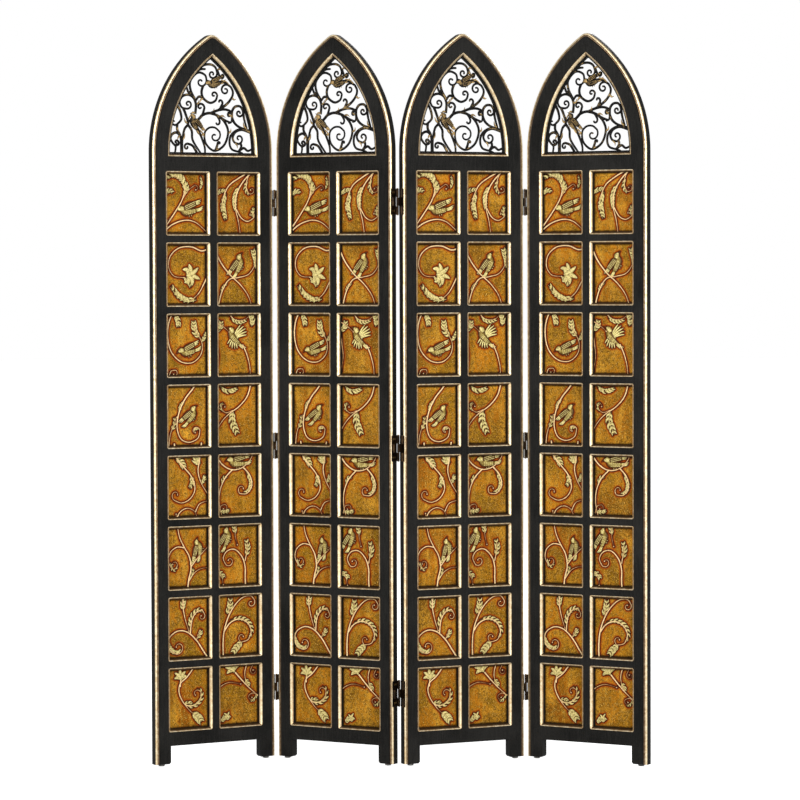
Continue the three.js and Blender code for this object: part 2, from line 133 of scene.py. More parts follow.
print(f"arch springs at {SPRING:.1f}, pane {PANE_WIDTH:.1f} x {PANE_HEIGHT:.1f}, pitch {ROW_PITCH:.1f}")

# %% [markdown]
# The panels stand in a zigzag. Each has the place of its middle on the floor and a heading in degrees,
# both fitted to the photograph, and one matrix that carries its own millimetres into the room.

# %% Where the panels stand
PANELS = [
    ("panel_1", (-472.178, 9.533), 29.76),
    ("panel_2", (-160.568, 10.485), -29.41),
    ("panel_3", (156.322, -0.997), 25.26),
    ("panel_4", (472.470, -14.054), -29.99),
]


def panel_matrix(centre, heading):
    """Carries a panel's own millimetres to metres on the floor."""
    place = Matrix.Translation((centre[0] * MM, centre[1] * MM, 0))
    return place @ Matrix.Rotation(math.radians(heading), 4, "Z") @ Matrix.Scale(MM, 4)


UPRIGHT = Matrix.Rotation(math.pi / 2, 4, "X")  # stands a flat drawing up to face the front
PANEL_PLACES = {name: panel_matrix(centre, heading) for name, centre, heading in PANELS}
print("panels:", ", ".join(PANEL_PLACES))

# %% [markdown]
# ## Building meshes
# Most pieces here are lofts: rings of points joined one to the next and closed at both ends. `Skin`
# collects points and faces, and gives one closed mesh. Normals are worked out once, at the end.


# %% A collector of points and faces
class Skin:
    """Points and faces on their way to a mesh, in millimetres. Marks are named numbers per point."""

    def __init__(self):
        self.points = []
        self.faces = []
        self.marks = {}

    def add(self, points, **marks):
        start = len(self.points)
        self.points.extend(points)
        for name in set(self.marks) | set(marks):
            kept = self.marks.setdefault(name, [])
            kept.extend([0.0] * (start - len(kept)))
            kept.extend(marks.get(name, [0.0] * len(points)))
        return start

    def join(self, first, second, count, closed=True):
        for i in range(count if closed else count - 1):
            j = (i + 1) % count
            self.faces.append((first + i, first + j, second + j, second + i))

    def loft(self, rings, marks=None, closed=True, caps=True):
        """Joins rings of equal length. closed also joins the last ring to the first."""
        count = len(rings[0])
        starts = [self.add(ring, **(marks[i] if marks else {})) for i, ring in enumerate(rings)]
        for a, b in zip(starts, starts[1:]):
            self.join(a, b, count, closed)
        if caps:
            self.faces.append(tuple(range(starts[0], starts[0] + count)))
            self.faces.append(tuple(range(starts[-1] + count - 1, starts[-1] - 1, -1)))
        return starts

    def region(self, loops, starts):
        """Fills between an outer loop and its holes. starts are where their points already are."""
        flat = [i for loop, start in zip(loops, starts) for i in range(start, start + len(loop))]
        veils = [[Vector((x, z, 0)) for x, z in loop] for loop in loops]
        for a, b, c in tessellate_polygon(veils):
            self.faces.append((flat[a], flat[b], flat[c]))

    def copied(self, change):
        """The same faces with every point changed, as another Skin."""
        other = Skin()
        other.points = [change(p) for p in self.points]
        other.faces = list(self.faces)
        other.marks = {k: list(v) for k, v in self.marks.items()}
        return other

    def mesh(self, name, smooth=35.0):
        data = bpy.data.meshes.new(name)
        data.from_pydata([tuple(p) for p in self.points], [], self.faces)
        for mark, values in self.marks.items():
            layer = data.attributes.new(mark, "FLOAT", "POINT")
            layer.data.foreach_set("value", values + [0.0] * (len(self.points) - len(values)))
        shell = bmesh.new()
        shell.from_mesh(data)
        bmesh.ops.remove_doubles(shell, verts=shell.verts, dist=0.002)
        bmesh.ops.dissolve_degenerate(shell, edges=shell.edges, dist=0.001)
        bmesh.ops.recalc_face_normals(shell, faces=shell.faces)
        shell.to_mesh(data)
        shell.free()
        data.polygons.foreach_set("use_smooth", [True] * len(data.polygons))
        data.set_sharp_from_angle(angle=math.radians(smooth))
        data.update()
        return data


print("Skin is ready")

# %% [markdown]
# A finished mesh goes to each panel as a copy whose points are already in the room, because every
# piece's object has to sit unturned at the origin.


# %% Put a mesh on its panel
def dress(name, data, place, body, finish, replaced=()):
    piece_data = data.copy()
    piece_data.transform(place)
    piece_data.name = name
    piece_data.materials.clear()
    piece_data.materials.append(finish)
    piece = add_object(name, piece_data)
    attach(piece, body)
    if replaced:
        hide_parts(*replaced)
    return piece


print("dress is ready")

# %% [markdown]
# ## Shader sums
# A finish is a small web of nodes. Written as sums, it reads like arithmetic: `Wire` wraps one
# socket, and each operator adds the Math node that does it. Every other node comes from `node`.


# %% A socket that takes part in sums
class Wire:
    """One output socket of a material's nodes."""

    def __init__(self, tree, socket=None):
        self.tree = tree
        self.socket = socket

    def node(self, kind, settings=None, output=0, **values):
        """Adds a node. settings are set first, then the values or wires of its sockets."""
        made = self.tree.nodes.new(kind)
        for name, value in (settings or {}).items():
            if name == "stops":
                ramp = made.color_ramp
                while len(ramp.elements) < len(value):
                    ramp.elements.new(0.5)
                for stop, (place, colour) in zip(ramp.elements, value):
                    stop.position = place
                    stop.color = (*colour, 1.0)
            else:
                setattr(made, name, value)
        for name, value in values.items():
            key = int(name[1:]) if name[0] == "_" else name.replace("_", " ")
            if isinstance(key, str) and key not in made.inputs:
                key = next(s.name for s in made.inputs if s.name.lower() == key.lower())
            target = made.inputs[key]
            if isinstance(value, Wire):
                self.tree.links.new(value.socket, target)
            else:
                target.default_value = value
        return Wire(self.tree, made.outputs[output])

    def sum(self, operation, *others, clamp=False):
        values = {f"_{i}": value for i, value in enumerate(others)}
        return self.node("ShaderNodeMath", {"operation": operation, "use_clamp": clamp}, **values)

    def __add__(self, other):
        return self.sum("ADD", self, other)

    def __sub__(self, other):
        return self.sum("SUBTRACT", self, other)

    def __rsub__(self, other):
        return self.sum("SUBTRACT", other, self)

    def __mul__(self, other):
        return self.sum("MULTIPLY", self, other)

    __radd__ = __add__
    __rmul__ = __mul__

    def between(self, low, high):
        """0 below low and 1 above high, with a smooth step between."""
        settings = {"interpolation_type": "SMOOTHSTEP"}
        return self.node("ShaderNodeMapRange", settings, _0=self, _1=low, _2=high)

    def blend(self, first, second):
        """From one colour to another as this wire goes from 0 to 1."""
        settings = {"data_type": "RGBA", "clamp_factor": True}
        ends = [c if isinstance(c, Wire) else (*c, 1.0) for c in (first, second)]
        return self.node("ShaderNodeMix", settings, output=2, _0=self, _6=ends[0], _7=ends[1])


print("Wire is ready")

# %% [markdown]
# Colours are picked as they look on screen, but a shader works in linear light, so `shade` turns one
# into the other. `new_finish` gives a material with its Principled shader and the piece's own place,
# in metres. The pattern is tied to that place, so it neither slides nor turns in other views.


# %% Start a finish
def shade(red, green, blue):
    """A colour as seen on screen, 0 to 255, in linear light."""
    parts = (red / 255, green / 255, blue / 255)
    return tuple(p / 12.92 if p <= 0.04045 else ((p + 0.055) / 1.055) ** 2.4 for p in parts)


def new_finish(name):
    material = bpy.data.materials.new(name)
    material.use_nodes = True
    tree = material.node_tree
    shader = tree.nodes["Principled BSDF"]
    place = Wire(tree).node("ShaderNodeTexCoord", output=3)
    return material, shader, place


def noise(place, scale, detail=3.0, roughness=0.5, stretch=None):
    """Soft random patches. stretch squeezes them along x, y and z."""
    if stretch:
        place = place.node("ShaderNodeMapping", None, Vector=place, Scale=stretch)
    values = {"Vector": place, "Scale": scale, "Detail": detail, "Roughness": roughness}
    return place.node("ShaderNodeTexNoise", None, **values)


def mark(place, name):
    """A number that the mesh carries at each point, such as its crest."""
    return place.node("ShaderNodeAttribute", {"attribute_name": name}, output=2)


def feed(shader, **wires):
    """Links wires, or sets plain values, on the shader's sockets."""
    for name, value in wires.items():
        socket = shader.inputs[name.replace("_", " ")]
        if isinstance(value, Wire):
            value.tree.links.new(value.socket, socket)
        else:
            socket.default_value = value


def bump(height, distance, strength=1.0):
    return height.node("ShaderNodeBump", None, Height=height, Distance=distance, Strength=strength)


print("finishes can be made")

# %% [markdown]
# ## Black lacquer
# The frame is close-grained wood under several coats of black lacquer, rubbed to a satin. Up close
# the grain still shows as long faint ridges, the lacquer has a fine pebble, and handling has left
# cloudy patches in the gloss. The ridges are a noise stretched along z, and the pebble an even one.


# %% Make the lacquer
def make_lacquer(name, tint):
    material, shader, place = new_finish(name)
    grain = noise(place, 420.0, 4.0, 0.6, (1.0, 1.0, 0.06))
    pores = noise(place, 1500.0, 2.0, 0.5, (1.0, 1.0, 0.12))
    clouds = noise(place, 9.0, 3.0)
    pebble = noise(place, 480.0, 3.0, 0.6)
    rubbed = noise(place, 60.0, 2.0).between(0.55, 0.75)
    colour = (grain * 0.3 + pebble * 0.4 + clouds * 0.3).between(0.36, 0.66).blend(shade(16, 16, 15), tint)
    feed(shader, Base_Color=colour, Roughness=clouds * 0.16 + rubbed * 0.06 + 0.30)
    feed(shader, Normal=bump(grain * 0.25 + pebble * 0.6 + pores * 0.15, 0.0005, 0.45))
    feed(shader, Specular_IOR_Level=0.06)
    return material


lacquer = make_lacquer("black_lacquer", shade(40, 39, 37))
print("made", lacquer.name)

# %% [markdown]
# ## Gilding
# The bead and the mouldings are gilded over a red-brown ground and toned with a brown glaze. The
# glaze stays in the hollows and is wiped off the crests, so the same moulding goes from brown to
# pale gold across its width. That pale gold is also a painted highlight, and the brown partly a
# painted shade, for how each face meets the lamps. Each mesh carries a `crest` number for that, and
# noise breaks it up.


# %% Make the gilding
def make_gilding(name):
    material, shader, place = new_finish(name)
    crest = mark(place, "crest")
    wear = noise(place, 130.0, 4.0, 0.65)
    speckle = noise(place, 900.0, 3.0, 0.6)
    # Wiped glaze and painted highlight: the crest turns the brown, which is partly painted shade, to pale
    # gold.
    glaze_wiped_and_lit = (crest + wear * 0.5 - 0.25).between(0.12, 0.85)
    gold = wear.between(0.3, 0.7).blend(shade(226, 196, 146), shade(250, 234, 198))
    glaze_and_painted_shade = crest.between(0.0, 0.3).blend(shade(34, 26, 16), shade(92, 62, 28))
    toned = glaze_wiped_and_lit.blend(glaze_and_painted_shade, gold)
    bare = speckle.between(0.66, 0.74) * (1 - crest)
    feed(shader, Base_Color=bare.blend(toned, shade(84, 40, 24)))
    feed(shader, Metallic=0.45 + glaze_wiped_and_lit * 0.3, Roughness=0.44 - glaze_wiped_and_lit * 0.12 + wear * 0.08)
    feed(shader, Normal=bump(wear * 0.6 + speckle * 0.4, 0.0003, 0.6))
    return material


gilding = make_gilding("toned_gilding")
print("made", gilding.name)

# %% [markdown]
# ## The outline of a panel
# Each side of the arch is an arc struck from a centre beyond the other side, and a small round tip
# joins the two. A ring drawn in by an inset keeps the same centres with smaller radii, so it stays
# parallel. Points are spread by their share of the curve's length, and every ring has as many.

# %% Draw the outline
ARC_POINTS = 40


def arch_side(inset):
    """The right side of the outer arch, from the spring to the middle of the tip."""
    radius = OUTER_ARC - inset
    tip = TIP_RADIUS - inset
    tip_height = HEIGHT - TIP_RADIUS
    turn = math.atan2(tip_height - SPRING, ARCH_OFFSET)
    end = turn if tip > 0 else math.acos(ARCH_OFFSET / radius)
    long_part = radius * end
    short_part = max(tip, 0) * (math.pi / 2 - turn)
    points = []
    for i in range(ARC_POINTS + 1):
        along = (long_part + short_part) * (1 - (1 - i / ARC_POINTS) ** 1.15)
        if along <= long_part:
            angle = along / radius
            points.append((-ARCH_OFFSET + radius * math.cos(angle), SPRING + radius * math.sin(angle)))
        else:
            angle = turn + (along - long_part) / tip
            points.append((tip * math.cos(angle), tip_height + tip * math.sin(angle)))
    points[-1] = (0.0, points[-1][1])
    return points


def mirrored(points):
    return [(-x, z) for x, z in reversed(points)]


print("a side of the arch has", len(arch_side(0)), "points")


# %% Draw the loops of a panel
def outer_line(inset, foot=FLOOR_GAP):
    """From the right foot over the arch to the left foot."""
    right = [(HALF_WIDTH - inset, foot), *arch_side(inset)]
    return right + mirrored(right)[1:]


def feet_line(inset):
    """From the left foot under the rail back to the right foot, drawn in by inset."""
    foot = FLOOR_GAP + inset
    half = OPENING_HALF + inset
    left = [(-half - 4, foot), (-half, foot + 4), (-half, RAIL_BOTTOM + inset)]
    return left + [(-x, z) for x, z in reversed(left)]


def arch_hole(inset):
    """The pointed opening over its sill, drawn in by inset."""
    radius = OPENING_ARC - inset
    sill = ARCH_SILL - MOULDING + inset
    start = math.asin((sill - SPRING) / radius)
    apex = math.acos(ARCH_OFFSET / radius)
    side = []
    for i in range(ARC_POINTS + 1):
        angle = start + (apex - start) * i / ARC_POINTS
        side.append((-ARCH_OFFSET + radius * math.cos(angle), SPRING + radius * math.sin(angle)))
    side[-1] = (0.0, side[-1][1])
    return side + mirrored(side)[1:]


# %% Draw the opening of a pane
CORNER_RADIUS = 5.0
CORNER_POINTS = 5


def pane_hole(column, row, inset):
    """The opening of one pane. Its outer corners are rounded, and tighten as it is drawn in."""
    left = -PANE_OUTER if column == 0 else MULLION_HALF
    low = PANES_BOTTOM + row * ROW_PITCH
    x0, x1 = left + inset, left + PANE_WIDTH - inset
    z0, z1 = low + inset, low + PANE_HEIGHT - inset
    round_off = max(CORNER_RADIUS - inset * 0.8, 0.6)
    points = []
    for number, (x, z) in enumerate([(x1, z1), (x0, z1), (x0, z0), (x1, z0)]):
        cx = x + (round_off if x == x0 else -round_off)
        cz = z + (round_off if z == z0 else -round_off)
        for i in range(CORNER_POINTS):
            angle = math.radians(90 * number + 90 * i / (CORNER_POINTS - 1))
            points.append((cx + round_off * math.cos(angle), cz + round_off * math.sin(angle)))
    return points


print("outline has", len(outer_line(0)), "points")

# %% [markdown]
# ## The lacquered frame
# Stiles, rails and bars are jointed, then lacquered together, so no joint shows. One closed skin
# therefore stands for all four CAD members: a front face with seventeen holes, the walls of each
# hole, the recess for the board, and a back face. The bead and mouldings are laid on afterwards.

# %% Build the frame
EDGE_INSET = 0.15  # the hinge plates stand this little proud of the edge
ARRIS = 1.0  # the small flat worn on the back edges


def at_depth(loop, depth):
    return [(x, FRONT + depth, z) for x, z in loop]


def frame_skin():
    skin = Skin()
    outer_profile = [(10.5, 0.0), (10.3, 1.9), (0.4, 5.2), (EDGE_INSET, 6.0)]
    outer_profile += [(EDGE_INSET, THICKNESS - ARRIS), (EDGE_INSET + ARRIS, THICKNESS)]
    under_profile = [0.5, 0.0, 0.0, 0.0, 0.0, ARRIS]
    loops = []
    for (inset, depth), under in zip(outer_profile, under_profile):
        foot = FLOOR_GAP + under
        loops.append((outer_line(inset, foot) + feet_line(under), depth))
    outer = [skin.add(at_depth(loop, depth)) for loop, depth in loops]
    for a, b in zip(outer, outer[1:]):
        skin.join(a, b, len(loops[0][0]))

    arch_profile = [(0.4, 0.0), (0.6, 1.2), (6.9, 7.2), (6.9, THICKNESS - ARRIS), (6.1, THICKNESS)]
    arch_loops = [(arch_hole(inset), depth) for inset, depth in arch_profile]
    arch = [skin.add(at_depth(loop, depth)) for loop, depth in arch_loops]
    for a, b in zip(arch, arch[1:]):
        skin.join(a, b, len(arch_loops[0][0]))

    pane_profile = [(0.4, 0.0), (0.6, 1.2), (6.9, 7.2), (6.9, REBATE_DEPTH)]
    fronts, backs = [], []
    for column in (0, 1):
        for row in range(ROWS):
            pane = [(pane_hole(column, row, inset), depth) for inset, depth in pane_profile]
            starts = [skin.add(at_depth(loop, depth)) for loop, depth in pane]
            for a, b in zip(starts, starts[1:]):
                skin.join(a, b, len(pane[0][0]))
            fronts.append((pane[0][0], starts[0]))
            backs.append((pane[-1][0], starts[-1]))

    def recess(grow):
        x, low, high = PANE_OUTER + grow, PANES_BOTTOM - grow, PANES_TOP + grow
        return [(-x, low), (x, low), (x, high), (-x, high)]

    recess_loops = [(recess(0), REBATE_DEPTH), (recess(0), THICKNESS - 0.8), (recess(0.8), THICKNESS)]
    rebate = [skin.add(at_depth(loop, depth)) for loop, depth in recess_loops]
    for a, b in zip(rebate, rebate[1:]):
        skin.join(a, b, 4)

    front_loops, front_starts = zip(*fronts)
    back_loops, back_starts = zip(*backs)
    skin.region([loops[0][0], arch_loops[0][0], *front_loops], [outer[0], arch[0], *front_starts])
    skin.region([recess(0), *back_loops], [rebate[0], *back_starts])
    skin.region([loops[-1][0], arch_loops[-1][0], recess(0.8)], [outer[-1], arch[-1], rebate[-1]])
    return skin


frame_mesh = frame_skin().mesh("frame")
members = ("stile_left", "stile_right", "bottom_rail", "glazing_grid")
for panel, place in PANEL_PLACES.items():
    nodes = [f"{panel}_{member}" for member in members]
    dress(f"{panel}_frame", frame_mesh, place, panel, lacquer, nodes)
print("frame has", len(frame_mesh.polygons), "faces")

# %% [markdown]
# ## The gilt bead
# A rounded bead runs round the outer edge of each panel, from one foot over the arch to the other.
# It is a sweep: the same section is carried along the outline, and each of its points follows the
# ring with its own inset. The section is two reeds with a groove between them. The outer one is gilt
# and the inner one mostly glazed over, so `crest` is highest where the bead turns to the outside,
# where its pale gold is partly a painted highlight.

# %% Sweep the bead
BEAD_SECTION = [  # inset from the panel's edge, depth behind its face, and how far the gold shows, partly as painted highlight
    (10.35, 2.2, 0.0),
    (10.2, 1.1, 0.0),
    (9.4, 0.45, 0.0),
    (8.2, 0.12, 0.1),
    (7.0, 0.1, 0.3),
    (5.9, 0.35, 0.25),
    (4.9, 1.0, 0.1),
    (4.1, 1.6, 0.6),
    (3.2, 1.5, 1.0),
    (2.2, 1.75, 1.0),
    (1.2, 2.5, 0.95),
    (0.5, 3.6, 0.6),
    (0.2, 4.9, 0.25),
    (0.3, 5.6, 0.1),
    (5.0, 5.0, 0.0),
]


def bead_skin():
    skin = Skin()
    lines = [outer_line(inset, FLOOR_GAP + 0.4) for inset, _, _ in BEAD_SECTION]
    crests = [crest for _, _, crest in BEAD_SECTION]
    rings, marks = [], []
    for i in range(len(lines[0])):
        places = [line[i] for line in lines]
        rings.append([(x, FRONT + row[1], z) for (x, z), row in zip(places, BEAD_SECTION)])
        marks.append({"crest": crests})
    skin.loft(rings, marks)
    return skin


bead_mesh = bead_skin().mesh("bead", smooth=60)
for panel, place in PANEL_PLACES.items():
    dress(f"{panel}_gilt_bead", bead_mesh, place, panel, gilding)
print("bead has", len(bead_mesh.polygons), "faces")

# %% [markdown]
# ## Repeating on a grid
# The sixteen pane mouldings of a panel are one shape set out in two columns and eight rows, and so
# are the screws of a hinge. This Geometry Nodes tree puts its input on the points of a grid. It ends
# in Realize Instances and Set Material, so that nothing is left as an instance.


# %% A tree that repeats its input
def socket_in(tree, name, kind, value=None):
    socket = tree.interface.new_socket(name=name, in_out="INPUT", socket_type=kind)
    if value is not None:
        socket.default_value = value
    return socket


def new_tree(name, inputs):
    tree = bpy.data.node_groups.new(name, "GeometryNodeTree")
    socket_in(tree, "Shape", "NodeSocketGeometry")
    for label, kind, value in inputs:
        socket_in(tree, label, kind, value)
    socket_in(tree, "Finish", "NodeSocketMaterial")
    tree.interface.new_socket(name="Result", in_out="OUTPUT", socket_type="NodeSocketGeometry")
    return tree, tree.nodes.new("NodeGroupInput"), tree.nodes.new("NodeGroupOutput")


def finish_tree(tree, given, result, shape):
    """Ends a tree in Realize Instances and Set Material."""
    real = tree.nodes.new("GeometryNodeRealizeInstances")
    paint = tree.nodes.new("GeometryNodeSetMaterial")
    tree.links.new(shape, real.inputs[0])
    tree.links.new(real.outputs[0], paint.inputs["Geometry"])
    tree.links.new(given.outputs["Finish"], paint.inputs["Material"])
    tree.links.new(paint.outputs[0], result.inputs[0])


def grid_tree():
    sizes = [
        ("Columns", "NodeSocketInt", 2),
        ("Rows", "NodeSocketInt", 8),
        ("Width", "NodeSocketFloat", 0.0),
        ("Height", "NodeSocketFloat", 0.0),
    ]
    tree, given, result = new_tree("set_out_on_grid", sizes)
    grid = tree.nodes.new("GeometryNodeMeshGrid")
    spread = tree.nodes.new("GeometryNodeInstanceOnPoints")
    sockets = {"Width": "Size X", "Height": "Size Y", "Columns": "Vertices X", "Rows": "Vertices Y"}
    for label, socket in sockets.items():
        tree.links.new(given.outputs[label], grid.inputs[socket])
    tree.links.new(grid.outputs["Mesh"], spread.inputs["Points"])
    tree.links.new(given.outputs["Shape"], spread.inputs["Instance"])
    finish_tree(tree, given, result, spread.outputs[0])
    return tree


set_out_on_grid = grid_tree()
print("made", set_out_on_grid.name)


# %% Run a tree
def grow(data, tree, settings):
    """Runs a tree on a mesh or curve and gives its result as a plain mesh."""
    seedling = add_object("seedling", data)
    modifier = seedling.modifiers.new(tree.name, "NODES")
    modifier.node_group = tree
    names = {item.name: item.identifier for item in tree.interface.items_tree if item.in_out == "INPUT"}
    for label, value in settings.items():
        modifier[names[label]] = value
    bpy.context.view_layer.update()
    depsgraph = bpy.context.evaluated_depsgraph_get()
    grown = bpy.data.meshes.new_from_object(seedling.evaluated_get(depsgraph), depsgraph=depsgraph)
    bpy.data.objects.remove(seedling)
    return grown


print("trees can be run")

# %% [markdown]
# ## Pane and arch mouldings
# Each opening is framed by a gilt moulding that slopes in from the face. Its outer corners are
# rounded where the gilder's brush turned, and its inner ones are sharp. The section is slightly
# hollow at its foot and rounded above, as if run with a plane. Upright and level runs catch the light
# differently, so each has its own crest: the paler gold of the upright runs is painted highlight and
# the browner level runs are painted shade, over the wiped glaze. A pane's moulding is drawn flat, x
# across and y up.

# %% Run the mouldings
MOULDING_SECTION = [  # inset, depth, and how far the gold shows on an upright and on a level run, with painted highlight and shade
    (0.3, 1.6, 0.05, 0.1),
    (0.35, 0.5, 0.1, 0.2),
    (0.9, 0.12, 0.25, 0.5),
    (1.8, 0.25, 0.45, 0.6),
    (3.0, 0.95, 0.9, 0.35),
    (4.2, 2.05, 1.0, 0.2),
    (5.3, 3.4, 0.95, 0.1),
    (6.2, 4.9, 0.85, 0.1),
    (6.85, 6.5, 0.5, 0.05),
    (7.0, 7.6, 0.2, 0.0),
    (6.0, 8.2, 0.0, 0.0),
    (1.5, 4.2, 0.0, 0.0),
]


def ring_skin(outline, section):
    """A ring round an opening. outline(inset) is its path; section holds inset, depth and crests."""
    skin = Skin()
    lines = [outline(inset) for inset, _, _, _ in section]
    starts = []
    for i in range(len(lines[0])):
        ring = [(line[i][0], FRONT + place[1], line[i][1]) for line, place in zip(lines, section)]
        before, after = lines[0][i - 1], lines[0][(i + 1) % len(lines[0])]
        upright = abs(after[1] - before[1]) / math.dist(before, after)
        # Upright runs take a paler crest than level ones: painted highlight and painted shade for how each
        # run faces the lamps.
        crest = [level + (tall - level) * upright for _, _, tall, level in section]
        starts.append(skin.add(ring, crest=crest))
    for a, b in zip(starts, starts[1:] + starts[:1]):
        skin.join(a, b, len(section))
    return skin


one_pane = ring_skin(lambda inset: pane_hole(0, 0, inset), MOULDING_SECTION)
low_centre = PANES_BOTTOM + PANE_HEIGHT / 2
side_centre = -(PANE_OUTER + MULLION_HALF) / 2
flat_pane = one_pane.copied(lambda p: (p[0] - side_centre, p[2] - low_centre, -p[1]))
columns_apart = PANE_OUTER + MULLION_HALF
rows_span = (ROWS - 1) * ROW_PITCH
grid_sizes = {"Columns": 2, "Rows": ROWS, "Width": columns_apart, "Height": rows_span, "Finish": gilding}
panes_mesh = grow(flat_pane.mesh("pane_moulding", smooth=50), set_out_on_grid, grid_sizes)
stand_up = Matrix.Translation((0, 0, low_centre + (ROWS - 1) / 2 * ROW_PITCH)) @ UPRIGHT
arch_mesh = ring_skin(arch_hole, MOULDING_SECTION).mesh("arch_moulding", smooth=50)
for panel, place in PANEL_PLACES.items():
    dress(f"{panel}_pane_mouldings", panes_mesh, place @ stand_up, panel, gilding)
    dress(f"{panel}_arch_moulding", arch_mesh, place, panel, gilding)
print("mouldings have", len(panes_mesh.polygons) + len(arch_mesh.polygons), "faces a panel")

# %% [markdown]
# ## Curves and rounded limbs
# Scrolls, vines, leaves and birds are all drawn as a few guide points. A smooth line goes through
# them, and a limb is a row of rounded sections along that line. A relief limb is half a section with
# a flat back on the board; a round limb is a whole one. Drawings are flat: x across, y up, z forward.


# %% A smooth line through guide points
def smooth_line(guides, step=3.0):
    """Points along a Catmull-Rom curve through the guides, about step apart."""
    line = []
    ends = [guides[0], *guides, guides[-1]]
    for a, b, c, d in zip(ends, ends[1:], ends[2:], ends[3:]):
        count = max(1, round(math.dist(b, c) / step))
        for i in range(count):
            t = i / count
            weights = (
                (-t + 2 * t**2 - t**3) / 2,
                (2 - 5 * t**2 + 3 * t**3) / 2,
                (t + 4 * t**2 - 3 * t**3) / 2,
                (-(t**2) + t**3) / 2,
            )
            line.append(tuple(sum(w * p[k] for w, p in zip(weights, (a, b, c, d))) for k in (0, 1)))
    return [*line, tuple(guides[-1])]


def eye_line(start, eye, sweep, turns_to=0.22):
    """An eye: from start it winds in round a centre, through a sweep in degrees."""
    radius = math.dist(start, eye)
    first = math.atan2(start[1] - eye[1], start[0] - eye[0])
    steps = max(4, round(abs(sweep) / 20))
    points = []
    for i in range(1, steps + 1):
        part = i / steps
        angle = first + math.radians(sweep) * part
        reach = radius * turns_to**part
        points.append((eye[0] + reach * math.cos(angle), eye[1] + reach * math.sin(angle)))
    return points


GROOVE_SPREAD = 0.3  # how wide a limb's groove is, as a share of its half width


def limb(skin, line, half_widths, lifts, sides=6, relief=True, sink=0.3, groove=0.0, base=0.0, shine=1.0):
    """A rounded limb along a line. half_widths and lifts are read as evenly spaced along it."""
    rings, marks = [], []
    last = len(line) - 1
    for i, (x, y) in enumerate(line):
        before, after = line[max(i - 1, 0)], line[min(i + 1, last)]
        run = math.dist(before, after) or 1.0
        across = ((before[1] - after[1]) / run, (after[0] - before[0]) / run)
        part = i / last if last else 0.0
        half = np.interp(part, np.linspace(0, 1, len(half_widths)), half_widths)
        lift = np.interp(part, np.linspace(0, 1, len(lifts)), lifts)
        ring, crest = [], []
        for j in range(sides + 1 if relief else sides):
            angle = math.pi * j / sides if relief else 2 * math.pi * j / sides
            side, up = math.cos(angle), math.sin(angle)
            hollow = groove * math.exp(-((side / GROOVE_SPREAD) ** 2)) if relief else 0.0
            rise = up * lift * (1 - hollow)
            foot = sink if relief and up < 0.01 else 0
            ring.append((x + across[0] * half * side, y + across[1] * half * side, base + rise - foot))
            crest.append(max(up, 0.0) * shine)
        rings.append(ring)
        marks.append({"crest": crest})
    skin.loft(rings, marks)


print("limbs are ready")

# %% [markdown]
# ## Iron
# The grille is forged iron, blackened and waxed. The scale left by the fire is a fine grit in the
# bump. Where hands and dusters reach, the black thins to a dull grey. On the two birds, the twigs and
# the small leaves, gilt wax is rubbed over the high places. `crest` says how far forward a point is.

# %% Make the iron
def make_iron(name, rubbed):
    material, shader, place = new_finish(name)
    crest = mark(place, "crest")
    scale = noise(place, 700.0, 4.0, 0.65)
    patches = noise(place, 55.0, 3.0)
    black = patches.between(0.3, 0.7).blend(shade(6, 6, 5), shade(15, 14, 12))
    wax = (crest * 0.6 + scale * 0.4 + patches * 0.6).between(*((0.78, 1.15) if rubbed else (1.1, 1.25)))
    colour = wax.blend(black, scale.blend(shade(150, 112, 62), shade(222, 190, 128)))
    feed(shader, Base_Color=colour, Metallic=wax * 0.5, Roughness=0.6 - wax * 0.15 + scale * 0.1)
    feed(shader, Normal=bump(scale, 0.0004, 0.7), Specular_IOR_Level=0.15)
    return material


iron = make_iron("blackened_iron", False)
gilt_iron = make_iron("gilt_rubbed_iron", True)
print("made", iron.name, "and", gilt_iron.name)

# %% [markdown]
# ## The scrolls of the grille
# A smith draws each bar thinner toward its end and winds it into an eye with a small knob. Each
# scroll here is a line with a radius at every point; a Geometry Nodes tree carries a section along
# it and puts a knob on its end. The lines are drawn from the middle of the arch's sill.

